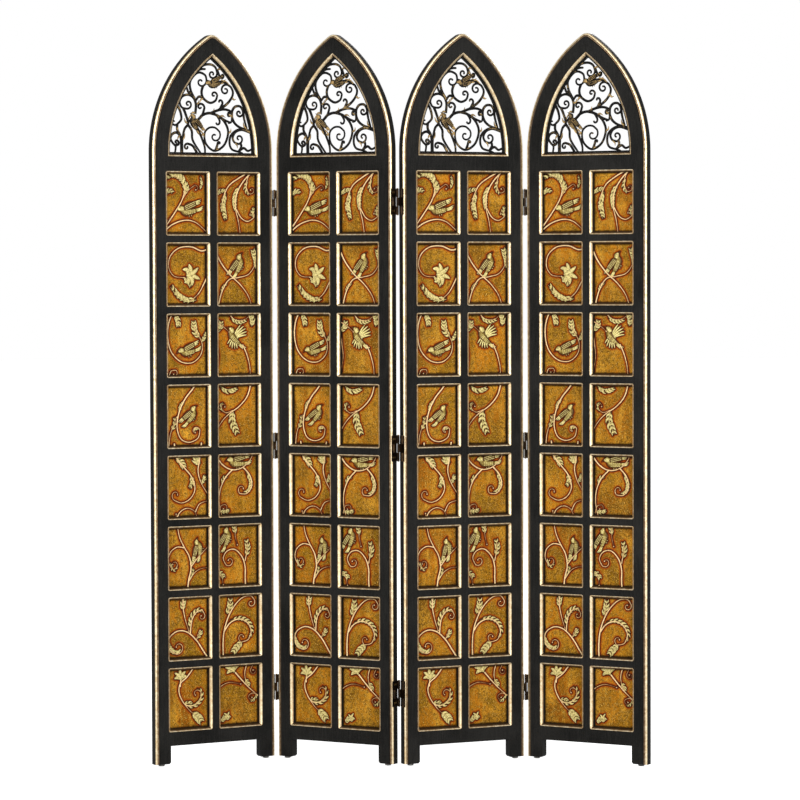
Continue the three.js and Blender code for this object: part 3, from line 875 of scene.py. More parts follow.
# %% Draw the scrolls
SCROLLS = [
    ([(-37, 83), (-22, 98), (0, 103), (26, 94), (43, 76), (49, 53), (37, 23), (10, 9), (-13, 26),
      (-17, 52), (-5, 66), (12, 67), (25, 57)], (11, 45), -330),
    ([(0, 103), (17, 98), (25, 86)], (18, 79), -200),
    ([(26, 94), (40, 86), (57, 80)], None, 0),
    ([(0, 103), (22, 111), (42, 113), (58, 107), (60, 94), (58, 82), (50, 79)], None, 0),
    ([(58, 106), (50, 104)], (53, 98), 160),
    ([(22, 111), (46, 127), (60, 144), (63, 158), (57, 170)], (42, 161), 430),
    ([(26, 113), (33, 126)], (26, 132), 220),
    ([(-38, 84), (-24, 97), (-17, 116)], (-29, 118), 330),
    ([(-20, 172), (-25, 156), (-20, 140), (-2, 129), (14, 135), (19, 148)], (9, 149), 300),
    ([(-24, 143), (-34, 143), (-42, 132)], None, 0),
    ([(-43, 100), (-41, 124), (-48, 141), (-63, 148), (-79, 143), (-86, 129), (-80, 116),
      (-68, 113)], (-63, 125), 380),
    ([(-44, 138), (-55, 158), (-57, 180), (-43, 199), (-29, 204), (-14, 197), (-11, 184)],
     (-27, 181), -330),
    ([(-56, 152), (-62, 155), (-67, 168)], None, 0),
    ([(-43, 199), (-22, 221), (0, 225), (14, 218), (19, 205)], (5, 201), -400),
    ([(-44, 204), (-28, 212), (-14, 213)], None, 0),
    ([(19, 212), (25, 198), (33, 191)], (33, 198), 220),
    ([(-76, 113), (-70, 100), (-63, 76), (-73, 62), (-79, 35), (-79, 2)], None, 0),
    ([(-92, 121), (-84, 104), (-82, 86), (-93, 74)], (-102, 79), -250),
    ([(-93, 74), (-93, 60), (-84, 42), (-83, 2)], None, 0),
    ([(-84, 45), (-95, 53), (-107, 49), (-112, 38), (-106, 27), (-98, 18), (-100, 2)], None, 0),
    ([(-99, 20), (-90, 24)], (-96, 29), 300),
    ([(-38, 2), (-50, 20), (-61, 25)], (-67, 17), 330),
    ([(-60, 86), (-63, 74), (-53, 58), (-50, 34), (-28, 2)], None, 0),
    ([(-43, 72), (-33, 58), (-18, 22), (-16, 2)], None, 0),
    ([(13, 9), (18, 22), (20, 30)], (24, 28), -200),
    ([(60, 94), (61, 110), (70, 121), (84, 121), (92, 109)], (80, 105), -380),
    ([(91, 112), (95, 88), (102, 66)], None, 0),
    ([(60, 94), (67, 80), (82, 69), (110, 61)], None, 0),
    ([(102, 64), (76, 62), (57, 48), (53, 28), (60, 13), (80, 7), (90, 3)], None, 0),
    ([(110, 57), (88, 63), (70, 57), (62, 43), (67, 31), (79, 27)], (79, 41), 330),
    ([(84, 29), (86, 20), (78, 8)], None, 0),
    ([(80, 10), (93, 17), (104, 10), (115, 14)], None, 0),
    ([(8, 178), (33, 182), (57, 170)], None, 0),
]
SCROLL_WIDTH = 7.4
SCROLL_DEPTH = 4.8
GRILLE_DEPTH = 14.0  # from the front of the frame to the middle of the grille


def line_curve(name, lines):
    """A curve object's data. lines holds ([(x, y)...], [radius...]) pairs."""
    data = bpy.data.curves.new(name, "CURVE")
    data.dimensions = "3D"
    for points, radii in lines:
        spline = data.splines.new("POLY")
        spline.points.add(len(points) - 1)
        for point, (x, y), radius in zip(spline.points, points, radii):
            point.co = (x, y, 0, 1)
            point.radius = radius
    return data


def scroll_lines():
    lines = []
    for guides, eye, sweep in SCROLLS:
        line = smooth_line(guides, step=2.6)
        if eye:
            line += eye_line(line[-1], eye, sweep)
        tip = 0.62 if eye else 0.72
        radii = [1 + (tip - 1) * (i / (len(line) - 1)) ** 1.3 for i in range(len(line))]
        lines.append((line, radii))
    return lines


print(len(SCROLLS), "scrolls drawn")

# %% [markdown]
# The bars repeat one thing along many lines, which is work for Geometry Nodes. The tree keeps the
# lines' normals upright, sweeps a squashed circle along them, and sets a knob on each line's end.
# The boards' vines are made by the same tree with other sizes.

# %% A tree that forges bars along lines
def bar_tree():
    sizes = [
        ("Width", "NodeSocketFloat", SCROLL_WIDTH),
        ("Depth", "NodeSocketFloat", SCROLL_DEPTH),
        ("Sides", "NodeSocketInt", 8),
        ("Knob", "NodeSocketFloat", 2.4),
    ]
    tree, given, result = new_tree("forge_bars", sizes)
    add, link = tree.nodes.new, tree.links.new
    upright = add("GeometryNodeSetCurveNormal")
    upright.mode = "Z_UP"
    ring = add("GeometryNodeCurvePrimitiveCircle")
    ring.inputs["Radius"].default_value = 0.5
    shape = add("ShaderNodeCombineXYZ")
    squash = add("GeometryNodeTransform")
    sweep = add("GeometryNodeCurveToMesh")
    sweep.inputs["Fill Caps"].default_value = True
    link(given.outputs["Shape"], upright.inputs["Curve"])
    link(upright.outputs[0], sweep.inputs["Curve"])
    link(given.outputs["Sides"], ring.inputs["Resolution"])
    link(given.outputs["Width"], shape.inputs["X"])
    link(given.outputs["Depth"], shape.inputs["Y"])
    shape.inputs["Z"].default_value = 1.0
    link(ring.outputs["Curve"], squash.inputs["Geometry"])
    link(shape.outputs[0], squash.inputs["Scale"])
    link(squash.outputs[0], sweep.inputs["Profile Curve"])
    if "Scale" in sweep.inputs:
        link(add("GeometryNodeInputRadius").outputs[0], sweep.inputs["Scale"])
    ends = add("GeometryNodeCurveEndpointSelection")
    ends.inputs["Start Size"].default_value = 0
    ends.inputs["End Size"].default_value = 1
    knob = add("GeometryNodeMeshUVSphere")
    knob.inputs["Segments"].default_value = 10
    knob.inputs["Rings"].default_value = 6
    knobs = add("GeometryNodeInstanceOnPoints")
    both = add("GeometryNodeJoinGeometry")
    link(given.outputs["Knob"], knob.inputs["Radius"])
    link(upright.outputs[0], knobs.inputs["Points"])
    link(ends.outputs[0], knobs.inputs["Selection"])
    link(knob.outputs["Mesh"], knobs.inputs["Instance"])
    link(sweep.outputs[0], both.inputs[0])
    link(knobs.outputs[0], both.inputs[0])
    finish_tree(tree, given, result, both.outputs[0])
    return tree


def mark_crest(data, low, high):
    """Marks each point by how far forward it lies, from 0 at low to 1 at high."""
    places = np.zeros(len(data.vertices) * 3)
    data.vertices.foreach_get("co", places)
    layer = data.attributes.new("crest", "FLOAT", "POINT")
    layer.data.foreach_set("value", np.clip((places[2::3] - low) / (high - low), 0, 1).astype(np.float32))
    data.polygons.foreach_set("use_smooth", [True] * len(data.polygons))
    return data


forge_bars = bar_tree()
eyes = [line for line, scroll in zip(scroll_lines(), SCROLLS) if scroll[1]]
stems = [line for line, scroll in zip(scroll_lines(), SCROLLS) if not scroll[1]]
bar_sizes = {"Width": SCROLL_WIDTH, "Depth": SCROLL_DEPTH, "Sides": 8, "Finish": iron}
scrolls_mesh = grow(line_curve("scrolls", eyes), forge_bars, {**bar_sizes, "Knob": 2.5})
stems_mesh = grow(line_curve("stems", stems), forge_bars, {**bar_sizes, "Knob": 1.7})
for forged in (scrolls_mesh, stems_mesh):
    mark_crest(forged, -2.4, 2.4)
print("scrolls have", len(scrolls_mesh.polygons) + len(stems_mesh.polygons), "faces")

# %% [markdown]
# ## Birds
# One drawing serves every bird on the screen: the two of the grille, and the painted ones on the
# boards. It faces right and is one unit from its middle to its beak. Body, head and beak are each a
# limb. The wing and the tail are feathers laid over them, each with a shallow groove, and rows of
# small scales stand for the plumage.

# %% Draw a bird
BODY = (
    [(0.64, 0.04), (0.42, -0.1), (0.1, -0.19), (-0.3, -0.24), (-0.62, -0.2)],
    [0.18, 0.32, 0.31, 0.2, 0.1],
)
HEAD = ([(0.46, 0.12), (0.68, 0.22), (0.92, 0.22)], [0.2, 0.27, 0.1])
BEAK = ([(0.88, 0.22), (1.02, 0.2), (1.14, 0.13)], [0.08, 0.055, 0.01])
EYE = ([(0.72, 0.28), (0.8, 0.285)], [0.02, 0.05, 0.02])
FOLDED_WING = ([(0.46, 0.08), (0.2, 0.18), (-0.2, 0.24), (-0.66, 0.26)], [0.12, 0.27, 0.25, 0.13])
FEATHERS = [
    ([(-0.3, 0.34), (-0.7, 0.38), (-1.16, 0.42)], 0.075),
    ([(-0.3, 0.25), (-0.7, 0.28), (-1.1, 0.3)], 0.075),
    ([(-0.3, 0.16), (-0.66, 0.18), (-1.0, 0.18)], 0.07),
]
TAIL = [
    ([(-0.42, -0.2), (-0.8, -0.2), (-1.2, -0.1)], 0.075),
    ([(-0.42, -0.24), (-0.8, -0.27), (-1.16, -0.22)], 0.075),
    ([(-0.42, -0.28), (-0.75, -0.34), (-1.05, -0.34)], 0.065),
]
LEGS = [([(0.14, -0.42), (0.2, -0.6)], 0.028), ([(-0.04, -0.42), (-0.02, -0.6)], 0.028)]
PLUMES = [(0.28 - 0.15 * i, 0.17 + 0.02 * i + 0.13 * j) for i in range(6) for j in (-1, 0, 1)]
DOWN = [(0.36 - 0.17 * i, -0.2 - 0.015 * i + 0.11 * j) for i in range(5) for j in (-1, 0, 1)]


RELIEF_SINK = 0.4  # how far raised work is sunk into the board
RELIEF_BIRD = 2.3  # how far a painted bird stands out
GRILLE_BIRD = 5.0  # how far a bird of the grille stands out, to each side


def spread_wing(side):
    """Five open feathers above the back (side 1) or below the breast (-1)."""
    tips = [(0.30, 1.02), (0.02, 1.12), (-0.24, 1.08), (-0.46, 0.94), (-0.62, 0.74)]
    bends = [(0.30, 0.52), (0.14, 0.58), (-0.02, 0.56), (-0.16, 0.48), (-0.26, 0.36)]
    squash = 1.0 if side > 0 else -0.85
    feathers = []
    for i, ((x, y), (u, v)) in enumerate(zip(bends, tips)):
        feathers.append(([(0.22 - 0.08 * i, 0.1), (x, y * squash), (u, v * squash)], 0.095))
    return feathers


print("a bird has", len(FEATHERS + TAIL), "feathers and", len(PLUMES + DOWN), "scales")


# %% Put a bird together
def draw_bird(skin, at, angle, size, flip=False, relief=True, flying=False, base=0.0):
    turn = math.radians(angle)

    def placed(points):
        out = []
        for x, y in points:
            x, y = x * size, (-y if flip else y) * size
            along = at[0] + x * math.cos(turn) - y * math.sin(turn)
            out.append((along, at[1] + x * math.sin(turn) + y * math.cos(turn)))
        return out

    def part(shape, lifts, low=0.0, sides=6, whole=False, groove=0.0, shine=1.0):
        points, halves = shape
        halves = halves if isinstance(halves, list) else [halves * s for s in (0.5, 1, 0.95, 0.7, 0.12)]
        line = smooth_line(placed(points), size * 0.1)
        widths = [half * size for half in halves]
        limb(skin, line, widths, lifts, sides, not whole, RELIEF_SINK, groove, base + low, shine)

    fat = RELIEF_BIRD if relief else GRILLE_BIRD
    round_sides = 8 if relief else 12
    for feather in TAIL + LEGS:
        part(feather, [fat * 0.3, fat * 0.5, fat * 0.3], sides=4, groove=0.3)
    part(BODY, [fat * s for s in (0.5, 0.9, 1.0, 0.85, 0.3)], 0.0, round_sides, not relief, shine=0.62)
    part(HEAD, [fat * s for s in (0.6, 0.95, 0.5)], 0.15, round_sides, not relief, shine=0.85)
    part(BEAK, [fat * 0.45, fat * 0.35, fat * 0.1], 0.2, 4, not relief, shine=0.4)
    part(EYE, [0.2, 0.5, 0.2], fat * 0.98, 4, shine=0.0)
    if flying:
        for side in (1, -1):
            for number, feather in enumerate(spread_wing(side)):
                part(feather, [fat * 0.5, fat * 0.6, fat * 0.3], 0.3 * (number % 2), 4, groove=0.35)
    else:
        for number, feather in enumerate(FEATHERS):
            part(feather, [fat * 0.5, fat * 0.5, fat * 0.25], 0.15 * number, 4, groove=0.35)
        part(FOLDED_WING, [fat * 0.3, fat * 0.6, fat * 0.5, fat * 0.2], fat * 0.5, 8, shine=0.4)
    for x, y in (DOWN if flying else PLUMES + DOWN):
        scale = [(x + 0.05, y - 0.01), (x - 0.03, y + 0.005), (x - 0.1, y + 0.02)]
        lift = fat * (1.0 if y > 0.02 else 0.82)
        part((scale, [0.02, 0.052, 0.035, 0.01]), [0.3, 0.6, 0.5, 0.2], lift, 4)


TWIGS = [  # the gilt twigs by the two birds
    [(-53, 99), (-60, 90), (-62, 80)],
    [(-30, 60), (-22, 52), (-17, 40)],
    [(30, 186), (45, 182), (58, 168)],
]
birds = Skin()
draw_bird(birds, (-42, 76), 128, 27, flip=True, relief=False)
draw_bird(birds, (12, 180), 200, 27, flip=True, relief=False)
for twig in TWIGS:
    limb(birds, smooth_line(twig, step=2.5), [1.9, 1.4], [2.2, 1.6], sides=8, relief=False)
birds_mesh = birds.mesh("grille_birds", smooth=60)
print("a pair of birds has", len(birds_mesh.polygons), "faces")

# %% [markdown]
# The bars and birds are set in a flat iron rim that fits the arch behind its moulding. The rim is the
# same kind of sweep as the mouldings, with a plain section. Small gilt leaves sprout where bars part.

# %% Set the grille in the arch
SPURS = [  # little leaves where bars part: guide points from root to tip
    [(-36, 84), (-30, 90), (-28, 99)], [(0, 104), (8, 108), (10, 116)], [(26, 95), (34, 97), (42, 92)],
    [(60, 96), (52, 100), (48, 108)], [(-43, 102), (-50, 104), (-56, 98)], [(-84, 46), (-90, 42), (-93, 34)],
    [(101, 65), (94, 72), (92, 82)], [(12, 10), (22, 14), (28, 10)], [(-43, 200), (-38, 208), (-30, 209)],
    [(-41, 124), (-34, 128), (-32, 136)], [(49, 54), (56, 58), (57, 66)], [(-17, 52), (-24, 48), (-26, 40)],
    [(-63, 76), (-70, 80), (-74, 90)], [(19, 212), (27, 214), (33, 208)], [(60, 144), (66, 138), (72, 140)],
    [(-79, 35), (-74, 42), (-72, 52)], [(67, 31), (74, 24), (75, 16)], [(-20, 140), (-27, 136), (-30, 128)],
]
spurs = Skin()
for guides in SPURS:
    line = smooth_line(guides, step=1.8)
    limb(spurs, line, [1.2, 2.6, 2.3, 1.2, 0.3], [1.6, 2.2, 1.9, 1.2, 0.4], sides=8, relief=False)
spurs_mesh = spurs.mesh("grille_spurs", smooth=60)
RIM_CREST = 0.3
RIM_SECTION = [  # inset from the arch's opening, and depth
    (7.35, 11.7),
    (7.8, 11.3),
    (10.8, 11.3),
    (11.3, 11.8),
    (11.3, 16.2),
    (10.8, 16.7),
    (7.8, 16.7),
    (7.35, 16.2),
]
rim_rows = [(inset, depth, RIM_CREST, RIM_CREST) for inset, depth in RIM_SECTION]
rim_mesh = ring_skin(arch_hole, rim_rows).mesh("grille_rim", smooth=40)
into_arch = Matrix.Translation((0, FRONT + GRILLE_DEPTH, ARCH_SILL)) @ UPRIGHT
for panel, place in PANEL_PLACES.items():
    node = f"{panel}_arch_grille"
    dress(f"{panel}_grille_rim", rim_mesh, place, panel, iron, [node])
    dress(f"{panel}_grille_scrolls", scrolls_mesh, place @ into_arch, panel, iron, [node])
    dress(f"{panel}_grille_stems", stems_mesh, place @ into_arch, panel, iron, [node])
    dress(f"{panel}_grille_spurs", spurs_mesh, place @ into_arch, panel, gilt_iron, [node])
    dress(f"{panel}_grille_birds", birds_mesh, place @ into_arch, panel, gilt_iron, [node])
print("grilles set")

# %% [markdown]
# ## The painted boards
# One board stands behind the sixteen panes of a panel. It is laid with gold leaf, toned with amber
# varnish, and carries a running vine in low relief with leaves, flowers and birds. The drawing is set
# out pane by pane, in millimetres from the lower left corner of what shows through each pane.

# %% Draw the vines
PANE_CORNERS = {
    (column, row): ((-126.0, 15.5)[column], PANES_BOTTOM + MOULDING + row * ROW_PITCH)
    for column in (0, 1)
    for row in range(ROWS)
}
# Each vine: the pane it starts in, its guide points, its width, and an eye at its end or None.
VINES = [
    ((0, 0), [(70, 150), (52, 128), (33, 112), (30, 88), (45, 60), (66, 54), (88, 66), (92, 84)],
     4.4, ((78, 84), 230)),
    ((0, 0), [(33, 104), (34, 120), (37, 134)], 4.4, None),
    ((0, 0), [(44, 61), (58, 44), (72, 32)], 3.6, None),
    ((1, 0), [(46, 132), (64, 112), (86, 90), (110, 70)], 4.6, None),
    ((1, 0), [(-8, 88), (10, 101), (32, 107), (62, 101)], 3.4, None),
    ((1, 0), [(84, 160), (75, 138), (74, 118), (83, 95)], 4.0, None),
    ((1, 0), [(110, 68), (98, 76), (86, 72)], 3.2, ((91, 65), 240)),
    ((1, 0), [(98, 150), (90, 136)], 3.0, ((99, 132), 330)),
    ((0, 1), [(116, -12), (98, 14), (80, 40), (56, 62), (30, 68), (8, 57), (0, 40), (6, 20), (24, 9)],
     4.8, ((28, 27), 280)),
    ((0, 1), [(44, 160), (42, 128), (48, 96), (58, 66)], 4.4, None),
    ((0, 1), [(62, 60), (66, 92), (79, 112), (95, 116), (103, 104)], 4.2, ((94, 100), -260)),
    ((0, 1), [(78, 42), (84, 54), (90, 66)], 3.4, None),
    ((1, 1), [(14, -20), (12, 20), (15, 58), (26, 92), (44, 122), (68, 143), (92, 146), (103, 133)],
     4.8, ((92, 128), -300)),
    ((1, 1), [(16, 60), (32, 80), (56, 89), (80, 80), (92, 58), (84, 36), (64, 30)], 4.4, ((66, 43), -250)),
    ((1, 1), [(20, 76), (30, 104), (33, 132)], 3.6, None),
    ((0, 2), [(54, -20), (58, 16), (65, 46), (60, 76), (46, 100), (34, 124), (28, 150), (24, 184)],
     4.8, None),
    ((0, 2), [(48, 98), (26, 101), (7, 88), (2, 66), (12, 46)], 4.0, ((18, 58), 300)),
    ((0, 2), [(65, 50), (84, 72), (112, 98)], 4.0, None),
    ((0, 2), [(59, 14), (74, 34), (92, 44), (114, 46)], 3.6, None),
    ((1, 2), [(78, -20), (76, 14), (76, 42), (68, 68), (48, 88), (26, 86), (14, 68), (22, 50)],
     4.6, ((32, 60), 290)),
    ((1, 2), [(76, 58), (80, 78), (82, 100)], 3.8, None),
    ((1, 2), [(-6, 36), (8, 24), (14, 0)], 3.4, None),
    ((1, 2), [(50, 160), (48, 128), (54, 100)], 3.4, None),
    ((0, 3), [(20, 184), (26, 148), (46, 124), (68, 98), (77, 68), (64, 44), (40, 34), (18, 42)],
     4.6, ((24, 55), -250)),
    ((0, 3), [(96, 184), (90, 140), (86, 112), (94, 84), (114, 52)], 4.6, None),
    ((0, 3), [(22, -14), (34, 10), (54, 20), (74, 13), (84, -6)], 4.0, None),
    ((0, 3), [(78, 10), (90, 30), (114, 37)], 3.8, None),
    ((1, 3), [(-6, 150), (14, 126), (40, 113), (70, 118), (94, 140), (104, 168)], 4.6, None),
    ((1, 3), [(42, 114), (20, 92), (6, 62), (4, 26), (14, -14)], 4.4, None),
    ((1, 3), [(72, 118), (90, 98), (96, 72), (82, 52), (62, 52)], 4.4, ((68, 64), -240)),
    ((1, 3), [(2, 4), (8, 22), (20, 26)], 3.2, ((18, 16), -240)),
    ((0, 4), [(90, 168), (72, 142), (50, 116), (34, 84), (28, 48), (38, 18), (62, 8), (86, 18), (92, 38)],
     4.8, ((79, 36), 260)),
    ((0, 4), [(4, -16), (8, 24), (18, 52), (28, 72)], 3.8, None),
    ((1, 4), [(98, 168), (86, 124), (62, 96), (34, 78), (12, 58), (-8, 28)], 4.6, None),
    ((1, 4), [(44, 86), (24, 80), (10, 90)], 3.4, ((18, 96), -240)),
    ((0, 5), [(26, 168), (8, 136), (3, 98), (12, 60), (38, 34), (70, 30), (94, 48), (100, 74), (90, 98),
              (78, 118)],
     4.6, None),
    ((0, 5), [(6, -8), (12, 10), (26, 12)], 3.6, ((22, 3), -230)),
    ((1, 5), [(-10, 134), (14, 122), (34, 106)], 3.8, None),
    ((1, 5), [(72, 74), (84, 48), (92, 18), (94, -14)], 4.2, None),
    ((1, 5), [(-4, 118), (0, 80), (4, 44), (-2, 8)], 3.6, None),
    ((1, 5), [(30, 160), (48, 138), (76, 136), (98, 152)], 3.8, None),
    ((0, 6), [(118, 138), (98, 133), (70, 143), (36, 140), (12, 120), (7, 92), (22, 70), (50, 66)],
     4.6, None),
    ((0, 6), [(118, 76), (106, 52), (90, 26), (68, 8)], 4.4, None),
    ((1, 6), [(-8, 142), (10, 106), (36, 74), (66, 48), (88, 20), (100, -12)], 4.8, None),
    ((1, 6), [(2, -12), (14, 30), (34, 60), (62, 66), (90, 74), (108, 98), (112, 126)], 4.4, None),
    ((0, 7), [(-8, 8), (20, 44), (44, 80), (52, 108), (44, 130), (24, 142)], 4.6, None),
    ((0, 7), [(-8, 2), (20, 22), (54, 32), (84, 26), (112, 4)], 4.6, None),
    ((0, 7), [(46, 84), (62, 106), (82, 120)], 3.4, ((84, 111), -200)),
    ((1, 7), [(92, 154), (62, 138), (34, 118), (18, 86), (14, 60)], 4.6, None),
    ((1, 7), [(100, 154), (74, 128), (56, 96), (54, 62), (62, 28), (68, -12)], 4.6, None),
    ((1, 7), [(56, 60), (70, 38), (88, 30), (104, 38)], 4.0, ((98, 47), 250)),
    ((1, 7), [(92, 148), (84, 122), (92, 100), (104, 102)], 3.6, ((99, 109), 230)),
]


print(len(VINES), "vines listed")


# %% Lay the vines on the board
def on_board(pane, point):
    corner = PANE_CORNERS[pane]
    return (corner[0] + point[0], corner[1] + point[1])


BOARD_EDGE = (-132.0, 132.0, PANES_BOTTOM + 1.5, PANES_TOP - 1.5)


def inside_board(point):
    x0, x1, y0, y1 = BOARD_EDGE
    return x0 < point[0] < x1 and y0 < point[1] < y1


def vine_lines():
    lines = []
    for pane, guides, width, eye in VINES:
        line = smooth_line([on_board(pane, guide) for guide in guides], step=3.5)
        if eye:
            line += eye_line(line[-1], on_board(pane, eye[0]), eye[1], turns_to=0.3)
        line = [point for point in line if inside_board(point)]
        radii = [width * (1.08 - 0.42 * (i / len(line)) ** 1.4) for i in range(len(line))]
        lines.append((line, radii))
    return lines


vines = vine_lines()
vine_sizes = {"Width": 0.92, "Depth": 1.05, "Sides": 8, "Knob": 2.2, "Finish": iron}
vines_mesh = grow(line_curve("vines", vines), forge_bars, vine_sizes)
mark_crest(vines_mesh, 0.2, 2.2)
print(len(vines), "vines,", len(vines_mesh.polygons), "faces")

# %% [markdown]
# ## Leaves and flowers
# A frond is a midrib with a low blade and a row of lobes to each side. A lobe is a small grooved limb.
# Where the midrib curls, the lobes on the outside are longer. A flower is a fan of petals on a cup.
# One function draws each of them along guide points, so no two come out alike.


# %% Draw fronds and flowers
def frond(skin, guides, width, lobes=6, left=1.0, right=1.0, rise=1.9):
    line = smooth_line(guides, step=2.5)
    limb(skin, line, [0.9, 1.5, 1.3, 0.9, 0.3], [rise * 0.9, rise * 1.15, rise, rise * 0.7, 0.3], sides=4)
    for side, share in ((1, left), (-1, right)):
        belly = width * share * 0.2
        blade = []
        for (x, y), a, b in zip(line, [line[0]] + line[:-1], line[1:] + [line[-1]]):
            run = math.dist(a, b) or 1
            blade.append((x - side * belly * (b[1] - a[1]) / run, y + side * belly * (b[0] - a[0]) / run))
        widths = [belly * s for s in (0.5, 1.2, 1.3, 0.9, 0.2)]
        limb(skin, blade, widths, [rise * s for s in (0.4, 0.55, 0.5, 0.3)], sides=4, shine=0.3)
    for number in range(lobes):
        part = 0.08 + 0.84 * (number + 0.5) / lobes
        at = min(int(part * (len(line) - 1)), len(line) - 2)
        (x0, y0), (x1, y1) = line[at], line[at + 1]
        heading = math.atan2(y1 - y0, x1 - x0)
        swell = math.sin(math.pi * (0.18 + 0.72 * part)) ** 0.8
        for side, share in ((1, left), (-1, right)):
            reach = width * swell * share
            if reach < 1.5:
                continue
            out = heading + side * math.radians(54)
            tip = heading + side * math.radians(12)
            middle = (x0 + reach * 0.62 * math.cos(out), y0 + reach * 0.62 * math.sin(out))
            end = (middle[0] + reach * 0.62 * math.cos(tip), middle[1] + reach * 0.62 * math.sin(tip))
            lobe = smooth_line([(x0, y0), middle, end], reach * 0.26)
            half = reach * 0.34
            lifts = [rise * 0.6, rise, rise * 0.8, rise * 0.25]
            widths = [half * 0.8, half, half * 0.55, half * 0.06]
            limb(skin, lobe, widths, lifts, sink=RELIEF_SINK, groove=0.45, base=0.12 * (number % 2))


def flower(skin, at, angle, size, petals=5, spread=110):
    """A fan of petals over a small cup. angle is where it points, in degrees."""
    for number in range(petals):
        share = number / (petals - 1) - 0.5
        out = math.radians(angle + spread * share)
        bend = math.radians(angle + spread * share * 1.75)
        reach = size * (1.0 - 0.55 * abs(share))
        middle = (at[0] + reach * 0.55 * math.cos(out), at[1] + reach * 0.55 * math.sin(out))
        end = (middle[0] + reach * 0.5 * math.cos(bend), middle[1] + reach * 0.5 * math.sin(bend))
        half = size * 0.2
        lift = 2.0 + 0.5 * (number % 2)
        petal = smooth_line([at, middle, end], size * 0.14)
        widths = [half * 0.6, half, half * 1.1, half * 0.85, half * 0.2]
        lifts = [lift * 0.9, lift, lift, lift * 0.8, lift * 0.3]
        limb(skin, petal, widths, lifts, sink=RELIEF_SINK, groove=0.35)
    ahead = math.radians(angle)
    root = (at[0] - size * 0.16 * math.cos(ahead), at[1] - size * 0.16 * math.sin(ahead))
    head = (at[0] + size * 0.3 * math.cos(ahead), at[1] + size * 0.3 * math.sin(ahead))
    cup = [size * 0.08, size * 0.17, size * 0.06]
    limb(skin, smooth_line([root, head], size * 0.1), cup, [1.8, 3.0, 1.4])


print("fronds and flowers can be drawn")

